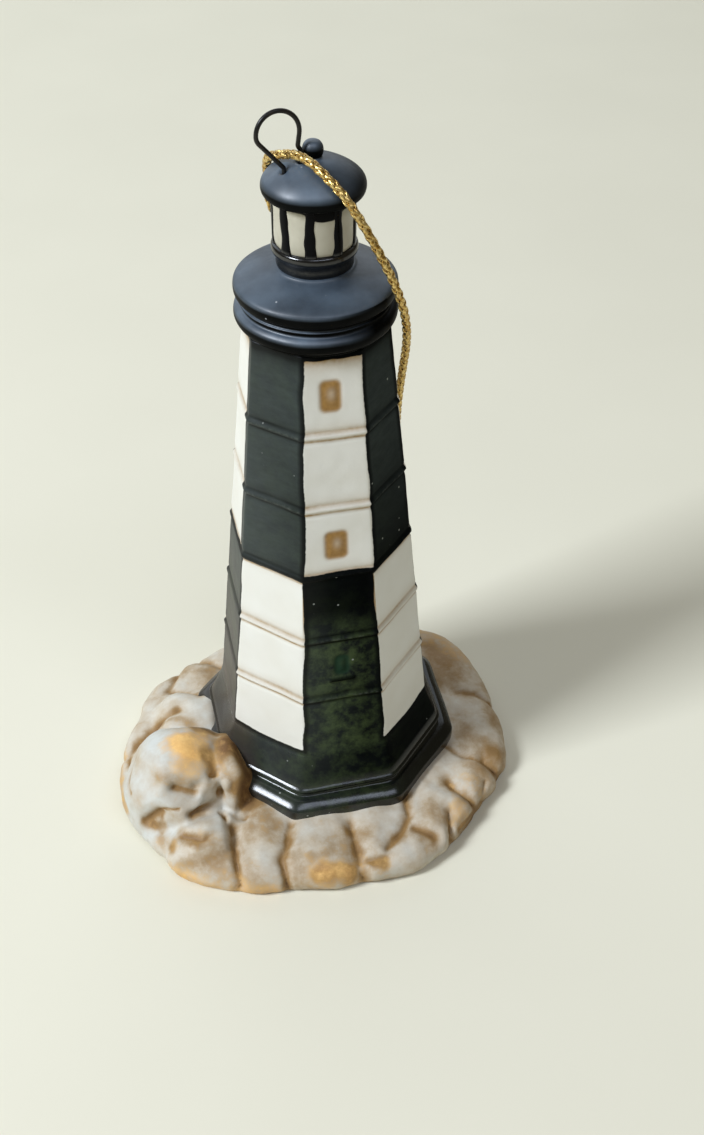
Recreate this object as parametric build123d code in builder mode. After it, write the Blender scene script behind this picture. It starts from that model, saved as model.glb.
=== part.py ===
from build123d import *
import os
from math import asin, atan, cos, degrees, pi, radians, sin, sqrt, tan

# Bisque lighthouse ornament: a tapered octagonal tower on a rock base, with a gallery,
# a lantern and a domed roof above, a wire eye in the roof and a braided cord through it.
# Millimetres, +Z up. The origin is on the tower's axis, on the table; the windows face -Y.

# Fits: the castings are stuck together with a thin film of slip, the wire with cement
slip_gap = 0.10
cement_gap = 0.02

# Rock base: cobbles round a core, with one boulder at the front left
core_radius = 19.5
core_height = 4.5
cobble_edge = 2.3
cobble_foot = 0.8
# Each cobble: direction from the axis in degrees, reach from the axis, radius, height
cobbles = [
    (-172, 30.6, 11.0, 4.6),
    (-150, 31.9, 13.0, 5.0),
    (-129, 31.0, 10.0, 4.8),
    (-112, 28.2, 7.6, 4.6),
    (-96, 27.4, 7.2, 5.0),
    (-75, 27.8, 9.0, 4.7),
    (-56, 27.4, 9.5, 5.2),
    (-34, 26.5, 8.6, 4.8),
    (-11, 26.0, 10.0, 5.1),
    (15, 25.2, 9.0, 4.7),
    (39, 24.2, 10.0, 5.0),
    (67, 22.0, 9.0, 4.6),
    (95, 21.2, 10.0, 4.9),
    (125, 22.4, 8.6, 4.7),
    (149, 25.6, 9.2, 5.0),
]
boulder_x = -21.8
boulder_y = -9.0
boulder_radius = 8.2
boulder_top = 11.3
shoulder_x = -18.4
shoulder_y = -17.2
shoulder_radius = 5.6
shoulder_top = 7.4
# Flat breaks on the boulders: direction and tilt of each in degrees, and its depth
breaks = [(-95, 40), (-150, 55), (-40, 25), (-170, 10), (60, 50)]
break_depth = 0.7
vent_radius = 2.5
vent_y = 7.0
boss_height = 1.6

# Tower: octagonal plinth, flared skirt and tapered shaft; radii are to the corners
sides = 8
seat_height = 4.0
plinth_radius = 18.7
plinth_side = 1.9
plinth_roll = 1.3
plinth_ledge = 0.4
ledge_rise = 0.1
step_height = 1.0
step_radius = 17.1
skirt_rise = 5.8
skirt_steps = 5
skirt_curve = 1.25
shaft_height = 57.8
shaft_foot_radius = 14.6
shaft_top_radius = 8.6
course_first = 8.6
course_pitch = 9.75
course_count = 5
course_proud = 0.28
course_width = 0.9
shaft_wall = 2.8

# Windows in the front face: height of the middle above the shaft's foot, width, height
window_upper = (52.7, 2.4, 3.9)
window_middle = (32.7, 2.8, 4.1)
window_lower = (13.9, 2.3, 3.6)
window_groove = 0.55
window_depth = 0.35
window_corner = 0.4
sill_width = 3.3
sill_height = 0.5
sill_proud = 0.3

# Gallery: rolled ring, neck and a deck that rises towards the lantern
ring_radius = 9.25
ring_side = 1.5
ring_slope = 0.9
ring_round = 0.7
neck_radius = 8.4
neck_height = 1.3
deck_radius = 9.15
deck_edge = 1.6
deck_round = 0.7
deck_rise = 1.6
gallery_spigot = 3.0

# Lantern: drum, sill ring and glazing with flat panes between mullions
drum_radius = 4.3
drum_height = 1.7
sill_radius = 4.75
sill_side = 0.5
sill_slope = 0.5
sill_round = 0.22
glazing_radius = 4.55
glazing_height = 5.5
pane_count = 9
pane_width = 1.95
pane_height = 4.9
pane_recess = 0.1
pane_phase = 3.0
lantern_spigot_radius = 3.0
lantern_spigot = 1.4

# Roof: a low dome with a rounded eave; ball finial on its crown
roof_radius = 5.6
crown_radius = 7.25
crown_rise = 3.95
eave_shoulder = 1.3
eave_under = 0.8
roof_spigot_radius = 2.9
roof_spigot = 1.5
ball_radius = 1.17
ball_lift = 0.75
ball_seat_drop = 0.1
peg_radius = 0.5
peg_length = 1.1

# Wire eye: one bent wire whose two legs stand in holes in the roof
wire_diameter = 0.5
hole_diameter = 0.9
hole_depth = 1.7
leg_depth = 1.5
cement_top = 0.35
eye_foot_x = -3.26
eye_foot_y = -0.98
eye_turn = 10.0
eye_stub = 0.55
foot_bend = 0.5
eye_lean = 46.7
lean_run = 3.2
lower_bend = 1.25
eye_radius = 2.34
eye_close = 9.0
eye_drop = 1.1
jog_angle = 38.0
jog_run = 0.05

# Hanging cord and its knot
cord_diameter = 1.05
knot_x = 10.0
knot_y = 10.0
knot_top = 27.0
knot_height = 3.2
knot_radius = 1.5
knot_mouth = 1.32
tail_length = 4.6
tail_splay = 9.0
end_offset = 0.44
end_run = 4.0
# Share of the shorter run that an arc of the cord takes at each corner
bend_share = 0.45
# Route from the knot up behind the tower, through the wire eye and down the right side
cord_route = [
    (knot_x - end_offset, knot_y + end_offset, knot_top),
    (knot_x - end_offset, knot_y + end_offset, knot_top + end_run),
    (9.2, 10.7, 37),
    (8.7, 10.2, 46),
    (8.2, 9.9, 56),
    (7.4, 9.8, 66),
    (6.3, 9.9, 74),
    (4.6, 9.5, 78.6),
    (1.9, 8.2, 80.2),
    (-0.9, 6.9, 81.4),
    (-3.3, 5.6, 84.0),
    (-4.8, 4.8, 87.4),
    (-4.7, 3.5, 89.7),
    (-3.8, 1.8, 91.1),
    (-2.9, 0.2, 91.5),
    (-2.1, -1.3, 91.55),
    (-0.9, -2.9, 91.3),
    (0.5, -4.4, 90.6),
    (2.0, -5.7, 89.2),
    (3.6, -6.6, 86.6),
    (5.2, -7.1, 83.2),
    (6.8, -7.2, 79.8),
    (8.2, -6.6, 76.2),
    (9.3, -5.1, 72.6),
    (10.0, -3.0, 68.6),
    (10.5, -1.0, 63.6),
    (10.8, 1.2, 57.6),
    (11.1, 3.4, 51.0),
    (11.5, 5.8, 44.0),
    (11.3, 7.9, 37.0),
    (knot_x + end_offset, knot_y - end_offset, knot_top + end_run),
    (knot_x + end_offset, knot_y - end_offset, knot_top),
]

# Heights that follow from the sizes above
half_side = 180 / sides
flat_ratio = cos(radians(half_side))
roll_top = seat_height + plinth_side + plinth_roll
step_top = roll_top + step_height
shaft_foot = step_top + skirt_rise
shaft_top = shaft_foot + shaft_height
taper = (shaft_foot_radius - shaft_top_radius) / shaft_height
cavity_foot = shaft_foot_radius * flat_ratio - shaft_wall
cavity_top = shaft_top_radius * flat_ratio - shaft_wall
ring_shoulder = shaft_top + ring_side
ring_top = ring_shoulder + ring_slope
deck_bottom = ring_top + neck_height
deck_rim = deck_bottom + deck_edge
deck_top = deck_rim + deck_rise
sill_bottom = deck_top + drum_height
sill_shoulder = sill_bottom + sill_side
sill_top = sill_shoulder + sill_slope
roof_bottom = sill_top + glazing_height
crown_top = roof_bottom + crown_rise
ball_seat = crown_top - ball_seat_drop
ball_centre = ball_seat + ball_lift


def shaft_radius(height):
    """Corner radius of the plain shaft at a height above the table."""
    return shaft_foot_radius - taper * (height - shaft_foot)


def crown_height(distance):
    """Height of the roof's dome at a distance from the axis."""
    return crown_top - crown_radius + sqrt(crown_radius**2 - distance**2)


def octagon_stack(sections):
    """Ruled solid through octagons given as (height, corner radius)."""
    with BuildPart() as stack:
        for height, radius in sections:
            with BuildSketch(Plane.XY.offset(height)):
                RegularPolygon(radius, sides, rotation=half_side)
        loft(ruled=True)
    return stack.part


# Plinth, skirt and shaft as one stack of octagons, from the seat upwards
roll_reach = plinth_radius - step_radius - plinth_ledge
tower_sections = [(seat_height, plinth_radius)]
for angle in (0, 30, 60, 90):
    lift = plinth_roll * sin(radians(angle))
    reach = step_radius + plinth_ledge + roll_reach * cos(radians(angle))
    tower_sections.append((seat_height + plinth_side + lift, reach))
tower_sections.append((roll_top + ledge_rise, step_radius))
for step in range(skirt_steps):
    share = 1 - step / skirt_steps
    flare = (step_radius - shaft_foot_radius) * share**skirt_curve
    tower_sections.append((shaft_foot - skirt_rise * share, shaft_foot_radius + flare))
tower_sections.append((shaft_foot, shaft_foot_radius))
for course in range(course_count):
    middle = shaft_foot + course_first + course * course_pitch
    for lift, proud in ((-0.5, 0), (-0.2, 1), (0.2, 1), (0.5, 0)):
        height = middle + lift * course_width
        tower_sections.append((height, shaft_radius(height) + proud * course_proud))
tower_sections.append((shaft_top, shaft_top_radius))

# The front face leans back with the taper; window sketches lie on that face
face_lean = degrees(atan(taper * flat_ratio))


def front_plane(height):
    """Plane on the front face of the shaft, at a height above its foot."""
    middle = (0, -shaft_radius(shaft_foot + height) * flat_ratio, shaft_foot + height)
    return Plane(middle, (1, 0, 0), (0, -cos(radians(face_lean)), sin(radians(face_lean))))


with BuildPart() as tower_shaft:
    add(octagon_stack(tower_sections))
    with BuildSketch(Plane.XZ):
        with BuildLine():
            Polyline(
                (0, seat_height),
                (cavity_foot, seat_height),
                (cavity_foot, shaft_foot),
                (cavity_top, shaft_top),
                (0, shaft_top),
                close=True,
            )
        make_face()
    revolve(axis=Axis.Z, mode=Mode.SUBTRACT)
    for height, width, tall in (window_upper, window_middle, window_lower):
        with BuildSketch(front_plane(height)):
            RectangleRounded(width, tall, window_corner)
            inner_corner = window_corner / 2
            RectangleRounded(
                width - 2 * window_groove, tall - 2 * window_groove, inner_corner, mode=Mode.SUBTRACT
            )
        extrude(amount=-window_depth, mode=Mode.SUBTRACT)
    lower_height, lower_width, lower_tall = window_lower
    with BuildSketch(front_plane(lower_height - lower_tall / 2 - sill_height / 2)):
        Rectangle(sill_width, sill_height)
    extrude(amount=sill_proud)
tower_shaft.part.label = "tower_shaft"


def cobble(direction, reach, radius, height):
    """One round-edged stone that stands on the table."""
    distance = reach - radius
    place = (distance * cos(radians(direction)), distance * sin(radians(direction)), 0)
    with BuildPart() as stone:
        with BuildSketch(Plane(place)):
            Circle(radius)
        extrude(amount=height)
        fillet(stone.edges().sort_by(Axis.Z)[-1], cobble_edge)
        fillet(stone.edges().sort_by(Axis.Z)[0], cobble_foot)
    return stone.part


def boulder(x, y, radius, top):
    """Broken round stone, sunk into the base."""
    centre = Vector(x, y, top - radius)
    with BuildPart() as stone:
        with Locations(centre):
            Sphere(radius)
        for direction, tilt in breaks:
            level = cos(radians(tilt))
            outward = Vector(
                level * cos(radians(direction)), level * sin(radians(direction)), sin(radians(tilt))
            )
            face = Plane(centre + outward * (radius - break_depth), z_dir=outward)
            split(bisect_by=face, keep=Keep.BOTTOM)
        split(bisect_by=Plane.XY.offset(cobble_foot), keep=Keep.TOP)
    return stone.part


# The rock carries the tower in an octagonal seat, round a boss that enters the cavity
with BuildPart() as rock_base:
    Cylinder(core_radius, core_height, align=(Align.CENTER, Align.CENTER, Align.MIN))
    for direction, reach, radius, height in cobbles:
        add(cobble(direction, reach, radius, height))
    add(boulder(boulder_x, boulder_y, boulder_radius, boulder_top))
    add(boulder(shoulder_x, shoulder_y, shoulder_radius, shoulder_top))
    with BuildSketch(Plane.XY.offset(seat_height)):
        RegularPolygon(plinth_radius + slip_gap, sides, rotation=half_side)
    extrude(amount=boulder_top, mode=Mode.SUBTRACT)
    with BuildSketch(Plane.XY.offset(seat_height)):
        Circle(cavity_foot - slip_gap)
    extrude(amount=boss_height)
    with BuildSketch(Plane((0, vent_y, 0))):
        Circle(vent_radius)
    extrude(amount=seat_height + boss_height, mode=Mode.SUBTRACT)
rock_base.part.label = "rock_base"

with BuildPart() as gallery:
    with BuildSketch(Plane.XZ) as gallery_section:
        with BuildLine():
            Polyline(
                (0, shaft_top),
                (ring_radius, shaft_top),
                (ring_radius, ring_shoulder),
                (neck_radius, ring_top),
                (neck_radius, deck_bottom),
                (deck_radius, deck_bottom),
                (deck_radius, deck_rim),
                (drum_radius, deck_top),
                (0, deck_top),
                close=True,
            )
        make_face()
        corners = gallery_section.vertices()
        fillet(corners.filter_by_position(Axis.X, ring_radius, ring_radius), ring_round)
        fillet(corners.filter_by_position(Axis.X, deck_radius, deck_radius), deck_round)
    revolve(axis=Axis.Z)
    with BuildSketch(Plane.XY.offset(shaft_top)):
        Circle(cavity_top - slip_gap)
    extrude(amount=-gallery_spigot, taper=degrees(atan(-taper * flat_ratio)))
    with BuildSketch(Plane.XY.offset(deck_top)):
        Circle(lantern_spigot_radius + slip_gap)
    extrude(amount=-lantern_spigot - slip_gap, mode=Mode.SUBTRACT)
gallery.part.label = "gallery"

pane_sagitta = glazing_radius - sqrt(glazing_radius**2 - (pane_width / 2) ** 2)
pane_plane = glazing_radius - pane_sagitta - pane_recess
with BuildPart() as lantern_room:
    with BuildSketch(Plane.XZ) as lantern_section:
        with BuildLine():
            Polyline(
                (0, deck_top),
                (drum_radius, deck_top),
                (drum_radius, sill_bottom),
                (sill_radius, sill_bottom),
                (sill_radius, sill_shoulder),
                (glazing_radius, sill_top),
                (glazing_radius, roof_bottom),
                (0, roof_bottom),
                close=True,
            )
        make_face()
        corners = lantern_section.vertices()
        fillet(corners.filter_by_position(Axis.X, sill_radius, sill_radius), sill_round)
    revolve(axis=Axis.Z)
    pane_middle = roof_bottom - (glazing_height - pane_height) / 2 - pane_height / 2
    with Locations((0, 0, pane_middle)):
        with PolarLocations(pane_plane, pane_count, start_angle=pane_phase - 90):
            Box(
                sill_radius,
                pane_width,
                pane_height,
                align=(Align.MIN, Align.CENTER, Align.CENTER),
                mode=Mode.SUBTRACT,
            )
    with BuildSketch(Plane.XY.offset(deck_top)):
        Circle(lantern_spigot_radius)
    extrude(amount=-lantern_spigot)
    with BuildSketch(Plane.XY.offset(roof_bottom)):
        Circle(roof_spigot_radius + slip_gap)
    extrude(amount=-roof_spigot - slip_gap, mode=Mode.SUBTRACT)
lantern_room.part.label = "lantern_room"

# The wire stands in a plane turned a little from X; its feet are drilled into the dome
eye_across = (cos(radians(eye_turn)), sin(radians(eye_turn)), 0)
near_ground = crown_height(sqrt(eye_foot_x**2 + eye_foot_y**2))
eye_plane = Plane((eye_foot_x, eye_foot_y, near_ground), eye_across, (eye_across[1], -eye_across[0], 0))
with BuildPart() as hanger_wire:
    with BuildLine(eye_plane) as eye_path:
        near_leg = Line((0, -leg_depth), (0, eye_stub))
        near_bend = JernArc(near_leg @ 1, near_leg % 1, foot_bend, eye_lean)
        lean = Line(near_bend @ 1, near_bend @ 1 + (near_bend % 1) * lean_run)
        lower = JernArc(lean @ 1, lean % 1, lower_bend, -eye_lean)
        ring = JernArc(lower @ 1, lower % 1, eye_radius, -180 - eye_close)
        drop = Line(ring @ 1, ring @ 1 + (ring % 1) * eye_drop)
        jog_out = JernArc(drop @ 1, drop % 1, foot_bend, eye_close + jog_angle)
        jog = Line(jog_out @ 1, jog_out @ 1 + (jog_out % 1) * jog_run)
        far_bend = JernArc(jog @ 1, jog % 1, foot_bend, -jog_angle)
        far_plan = far_bend @ 1
        far_ground = crown_height(sqrt(far_plan.X**2 + far_plan.Y**2))
        far_leg = Line(far_plan, far_plan + (far_bend % 1) * (far_plan.Z - far_ground + leg_depth))
    with BuildSketch(Plane((near_leg @ 0), z_dir=near_leg % 0)):
        Circle(wire_diameter / 2)
    sweep()
hanger_wire.part.label = "hanger_wire"
wire_feet = [(eye_foot_x, eye_foot_y, near_ground), (far_plan.X, far_plan.Y, far_ground)]

with BuildPart() as lantern_roof:
    with BuildSketch(Plane.XZ) as roof_section:
        with BuildLine():
            dome_edge = crown_height(roof_radius)
            dome_angle = degrees(asin(roof_radius / crown_radius))
            dome = CenterArc((0, crown_top - crown_radius), crown_radius, 90 - dome_angle, dome_angle)
            Polyline((0, crown_top), (0, roof_bottom), (roof_radius, roof_bottom), (roof_radius, dome_edge))
        make_face()
        rim = roof_section.vertices().filter_by_position(Axis.X, roof_radius, roof_radius)
        fillet(rim.sort_by(Axis.Y)[-1], eave_shoulder)
        fillet(rim.sort_by(Axis.Y)[0], eave_under)
    revolve(axis=Axis.Z)
    with BuildSketch(Plane.XY.offset(roof_bottom)):
        Circle(roof_spigot_radius)
    extrude(amount=-roof_spigot)
    with BuildSketch(Plane.XY.offset(ball_seat)):
        Circle(ball_radius)
    extrude(amount=ball_radius, mode=Mode.SUBTRACT)
    with BuildSketch(Plane.XY.offset(ball_seat)):
        Circle(peg_radius + slip_gap)
    extrude(amount=-peg_length - slip_gap, mode=Mode.SUBTRACT)
    for x, y, ground in wire_feet:
        with BuildSketch(Plane((x, y, ground - hole_depth))):
            Circle(hole_diameter / 2)
        extrude(amount=2 * hole_depth, mode=Mode.SUBTRACT)
lantern_roof.part.label = "lantern_roof"

with BuildPart() as ball_finial:
    with Locations((0, 0, ball_centre)):
        Sphere(ball_radius)
    split(bisect_by=Plane.XY.offset(ball_seat), keep=Keep.TOP)
    with BuildSketch(Plane.XY.offset(ball_seat)):
        Circle(peg_radius)
    extrude(amount=-peg_length)
ball_finial.part.label = "ball_finial"

# Cement fills each hole round the wire, from the bottom to just under the dome
with BuildPart() as hanger_cement:
    for x, y, ground in wire_feet:
        with BuildSketch(Plane((x, y, ground - leg_depth))):
            Circle(hole_diameter / 2 - cement_gap)
            Circle(wire_diameter / 2 + cement_gap, mode=Mode.SUBTRACT)
        extrude(amount=leg_depth - cement_top)
hanger_cement.part.label = "hanger_cement"


def bend_radii(points):
    """Largest even radius at each corner of a limp cord's route."""
    radii = []
    for before, corner, after in zip(points, points[1:], points[2:]):
        arrive = Vector(corner) - Vector(before)
        leave = Vector(after) - Vector(corner)
        half_turn = radians(arrive.get_angle(leave)) / 2
        radii.append(bend_share * min(arrive.length, leave.length) / tan(half_turn))
    return radii


cord_radii = bend_radii(cord_route)
with BuildPart() as hanging_cord:
    with BuildLine() as cord_path:
        FilletPolyline(*cord_route, radius=cord_radii)
    with BuildSketch(Plane(cord_path.line @ 0, z_dir=cord_path.line % 0)):
        Circle(cord_diameter / 2)
    sweep()
hanging_cord.part.label = "hanging_cord"

# The knot is a rounded knob whose flat top takes both cord ends, with two short tails
with BuildPart() as cord_knot:
    with BuildSketch(Plane((knot_x, knot_y, knot_top), (1, 0, 0), (0, -1, 0))):
        with BuildLine():
            Line((0, 0), (knot_mouth, 0))
            ThreePointArc((knot_mouth, 0), (knot_radius, -knot_height / 2), (knot_mouth, -knot_height))
            Line((knot_mouth, -knot_height), (0, -knot_height))
            Line((0, -knot_height), (0, 0))
        make_face()
    revolve(axis=Axis((knot_x, knot_y, 0), (0, 0, 1)))
    for side in (-1, 1):
        start = (knot_x + side * end_offset, knot_y - side * end_offset, knot_top - knot_height / 2)
        lean = sin(radians(side * tail_splay)) / sqrt(2)
        with BuildSketch(Plane(start, z_dir=(lean, -lean, -cos(radians(tail_splay))))):
            Circle(cord_diameter / 2)
        extrude(amount=knot_height / 2 + tail_length)
cord_knot.part.label = "cord_knot"

cord_length = cord_path.wires()[0].length
plain_volume = pi * cord_diameter**2 / 4 * cord_length
print("cord length", round(cord_length, 1), "volume share", hanging_cord.part.volume / plain_volume)
print("cord radii", [round(radius, 1) for radius in cord_radii])

pieces = [
    rock_base,
    tower_shaft,
    gallery,
    lantern_room,
    lantern_roof,
    ball_finial,
    hanger_wire,
    hanger_cement,
    hanging_cord,
    cord_knot,
]
os.makedirs("parts", exist_ok=True)
for piece in pieces:
    export_step(piece.part, f"parts/{piece.part.label}.step")
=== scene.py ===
import math

import bmesh
import bpy
import numpy as np
from mathutils import Matrix, Vector, noise


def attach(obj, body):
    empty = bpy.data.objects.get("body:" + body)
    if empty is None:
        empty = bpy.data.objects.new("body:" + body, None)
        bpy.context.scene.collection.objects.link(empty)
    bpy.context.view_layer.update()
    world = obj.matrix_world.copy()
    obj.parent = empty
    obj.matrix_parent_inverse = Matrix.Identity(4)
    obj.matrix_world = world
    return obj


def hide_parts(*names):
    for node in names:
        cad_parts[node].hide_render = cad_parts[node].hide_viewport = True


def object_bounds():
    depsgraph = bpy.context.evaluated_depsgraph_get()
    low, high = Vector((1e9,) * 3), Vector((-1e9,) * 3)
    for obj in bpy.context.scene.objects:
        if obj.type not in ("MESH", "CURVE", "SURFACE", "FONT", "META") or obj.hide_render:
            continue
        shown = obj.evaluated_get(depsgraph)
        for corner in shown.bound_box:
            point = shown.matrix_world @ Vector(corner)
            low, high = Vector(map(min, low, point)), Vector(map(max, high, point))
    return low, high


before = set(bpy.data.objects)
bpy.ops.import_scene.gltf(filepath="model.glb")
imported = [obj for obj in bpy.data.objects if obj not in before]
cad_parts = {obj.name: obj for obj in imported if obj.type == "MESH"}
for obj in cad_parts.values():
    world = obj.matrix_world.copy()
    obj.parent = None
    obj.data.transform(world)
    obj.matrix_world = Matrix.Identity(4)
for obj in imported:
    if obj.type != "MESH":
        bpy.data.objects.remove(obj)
cad_low, cad_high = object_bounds()

# Rock base
# A slip-cast bisque foot shaped as cobbles with one tall boulder at the front left.
# It is left unglazed and washed with ochre that stays in the crevices; the tower is stuck into its top.
mm = 0.001
# Outline on the table: direction from the tower's axis in degrees, reach in mm
rock_outline = [
    (-178, 30.4), (-163, 31.5), (-150, 30.7), (-134, 31.1), (-120, 29.2), (-109, 27.3), (-89, 26.9),
    (-75, 27.5), (-58, 26.9), (-43, 26.2), (-32, 27.2), (-12, 26.2), (8, 25.9), (31, 26.8), (42, 25.4),
    (57, 23.4), (75, 21.6), (95, 20.9), (113, 22.4), (129, 23.9), (141, 25.9), (149, 27.4), (165, 27.7),
    (172, 29.1),
]
outline_blur = 4
# Section of the rim: inset from the outline and height
rock_section = [
    (1.5, 0.0), (0.6, 0.25), (0.1, 0.9), (0.0, 1.8), (0.35, 2.8), (1.2, 3.6), (2.6, 4.2), (4.6, 4.55),
    (8.0, 4.75),
]
# Boulders, as centre and half sizes: the tall one, the saddle from it to the tower, its foot,
# the slope behind it and a pebble
boulders = [
    ((-21.4, -7.3, 3.3), (8.7, 8.7, 9.1)),
    ((-15.5, -7.9, 3.7), (3.7, 6.8, 7.3)),
    ((-19.4, -16.6, 1.6), (6.2, 5.6, 4.6)),
    ((-18.4, 2.6, 2.5), (7.4, 8.9, 5.1)),
    ((-16.1, -11.6, 8.2), (0.8, 1.3, 1.0)),
]
boulder_low = 0.6
# Flat breaks: direction and tilt in degrees, distance from the middle as a share of the half size
boulder_breaks = [
    (-95, 40, 0.9), (-60, 18, 0.86), (-118, 12, 0.88), (-150, 42, 0.94),
    (165, 30, 0.94), (-20, 50, 0.93), (80, 35, 0.93),
]
# Crevices across the cobbles, in plan: start, end, half width, depth
crevices = [
    ((-15.9, -16.6), (-17.0, -26.0), 0.5, 0.8),
    ((-8.2, -17.4), (-10.7, -22.8), 0.55, 0.7),
    ((-10.7, -22.8), (-10.2, -28.0), 0.5, 0.75),
    ((-0.2, -19.4), (-0.5, -29.0), 0.75, 0.75),
    ((7.8, -16.6), (7.8, -19.9), 0.45, 0.6),
    ((7.8, -19.9), (3.4, -24.4), 0.55, 0.65),
    ((3.0, -25.6), (-0.2, -25.4), 0.6, 0.55),
    ((7.9, -21.9), (10.0, -23.4), 0.7, 0.4),
    ((13.3, -20.0), (13.0, -27.0), 0.55, 0.8),
    ((14.6, -15.5), (17.4, -19.0), 0.75, 0.85),
    ((19.9, -15.6), (19.3, -18.1), 0.35, 0.35),
    ((19.3, -18.1), (14.8, -22.4), 0.35, 0.35),
    ((15.2, -8.2), (18.3, -11.4), 0.45, 0.5),
    ((18.3, -11.4), (20.4, -12.9), 0.4, 0.45),
    ((20.8, -12.6), (22.6, -14.2), 0.95, 1.1),
    ((20.6, 0.6), (23.2, 0.2), 0.6, 0.4),
    ((23.2, 0.2), (27.0, -2.4), 0.5, 0.55),
    ((10.0, 16.5), (13.0, 24.0), 0.5, 0.6),
    ((-1.0, 18.0), (-1.5, 24.0), 0.5, 0.6),
    ((-12.6, 13.4), (-14.6, 15.6), 0.45, 0.5),
    ((-14.6, 15.6), (-18.0, 18.5), 0.5, 0.6),
    ((-16.8, 7.0), (-21.5, 11.2), 0.5, 0.6),
    ((-21.5, 11.2), (-19.4, 16.0), 0.5, 0.55),
    ((-21.0, 4.4), (-25.4, 3.4), 0.7, 0.6),
    ((-25.4, 3.4), (-29.2, 0.6), 0.6, 0.7),
    ((-29.0, 0.8), (-28.9, -7.5), 0.5, 0.45),
]
crevice_wander = 0.5
crevice_grain = 3.6
# Chisel marks on the boulder: start, end, half width, depth
chisel_marks = [
    ((-23.2, -12.1, 9.6), (-20.6, -12.9, 8.8), 0.55, 0.8),
    ((-20.4, -12.3, 9.2), (-17.4, -11.1, 9.9), 0.65, 1.0),
    ((-21.4, -15.0, 6.6), (-17.2, -13.6, 6.6), 0.6, 1.1),
    ((-17.1, -11.8, 8.0), (-17.1, -14.4, 5.8), 0.5, 0.9),
    ((-17.1, -14.4, 5.8), (-16.9, -16.6, 5.2), 0.4, 0.7),
    ((-27.6, -12.8, 4.2), (-25.5, -13.3, 6.4), 0.75, 0.7),
    ((-25.5, -13.3, 6.4), (-25.9, -14.6, 4.0), 0.55, 0.5),
    ((-25.1, -13.3, 7.1), (-23.0, -14.1, 7.4), 0.25, 0.3),
    ((-26.0, -15.8, 3.7), (-24.8, -17.4, 4.0), 0.7, 0.4),
    ((-23.0, -16.9, 5.2), (-20.8, -18.6, 6.0), 0.75, 0.65),
    ((-20.8, -18.8, 6.0), (-16.2, -16.8, 4.6), 0.5, 0.6),
    ((-14.3, -15.4, 5.0), (-12.7, -14.0, 5.3), 0.5, 0.6),
    ((-28.6, -1.5, 8.0), (-28.9, -9.4, 6.8), 0.35, 0.4),
]
# Ochre patches: start, end, radius, strength of the tan wash and of the orange one
ochre_patches = [
    ((-21.0, -6.6, 12.4), (-20.2, -9.0, 12.3), 2.5, 0.6, 1.6),
    ((-21.0, -10.2, 11.8), (-18.6, -5.2, 11.6), 2.1, 0.9, 1.0),
    ((-18.2, -8.2, 11.5), (-17.4, -10.0, 10.8), 2.0, 1.35, 0.7),
    ((-18.8, -3.6, 10.8), (-15.6, -4.4, 9.8), 1.5, 1.4, 0.3),
    ((-15.2, -7.0, 10.7), (-13.4, -13.2, 6.0), 2.3, 2.2, 0.3),
    ((-24.6, -10.9, 10.5), (-21.0, -12.0, 10.0), 1.9, 0.85, 0.15),
    ((-27.6, -12.8, 4.0), (-25.8, -14.2, 4.6), 1.2, 1.45, 0.2),
    ((-26.0, -15.8, 3.7), (-24.8, -17.4, 4.0), 1.3, 1.15, 0.35),
    ((-23.0, -17.2, 5.0), (-20.0, -18.9, 5.8), 1.5, 1.1, 0.2),
    ((-22.0, -20.2, 3.6), (-17.0, -21.4, 3.8), 2.6, 0.8, 0.15),
    ((-24.0, -19.8, 0.9), (-13.0, -25.0, 0.9), 1.9, 1.0, 1.2),
    ((-30.4, 2.0, 2.4), (-30.4, -8.0, 2.0), 1.5, 0.9, 0.6),
    ((-28.8, 1.2, 4.0), (-22.0, 3.8, 5.8), 1.4, 1.05, 0.1),
    ((-22.0, 3.0, 6.8), (-15.8, -1.6, 8.2), 1.2, 0.9, 0.1),
    ((-21.6, 10.8, 4.6), (-17.0, 7.2, 6.2), 1.2, 1.05, 0.1),
    ((-16.4, 15.6, 4.2), (-12.8, 13.6, 4.5), 1.4, 1.0, 0.25),
    ((-13.2, -14.8, 5.0), (-10.4, -17.4, 4.7), 2.4, 0.95, 0.15),
    ((-6.6, -24.0, 4.6), (-3.6, -23.0, 4.7), 1.8, 0.95, 0.3),
    ((-6.0, -25.8, 3.6), (-2.2, -26.4, 2.6), 1.9, 1.6, 1.0),
    ((-0.9, -20.4, 4.2), (-0.7, -25.8, 3.0), 1.3, 1.4, 0.2),
    ((0.2, -25.2, 3.5), (2.6, -26.0, 3.1), 1.0, 1.35, 0.45),
    ((7.9, -21.9, 4.4), (9.7, -23.3, 4.2), 1.4, 0.95, 0.1),
    ((14.7, -15.6, 4.0), (17.4, -19.0, 2.8), 0.8, 1.7, 0.5),
    ((14.9, -19.2, 3.8), (15.2, -21.6, 2.9), 1.5, 0.9, 0.6),
    ((16.4, -14.8, 4.0), (18.8, -17.2, 3.2), 1.5, 0.85, 0.5),
    ((20.9, -12.7, 3.2), (21.9, -13.4, 2.6), 1.2, 1.8, 0.2),
    ((20.8, 0.6, 4.0), (23.2, 0.2, 3.6), 1.1, 1.35, 0.1),
    ((23.6, -0.2, 3.6), (25.4, -1.6, 2.6), 0.9, 1.35, 0.1),
    ((19.0, 14.6, 3.8), (24.6, 7.6, 3.2), 2.4, 0.9, 0.5),
]
patch_wander = 0.9
patch_grain = 2.2
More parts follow.
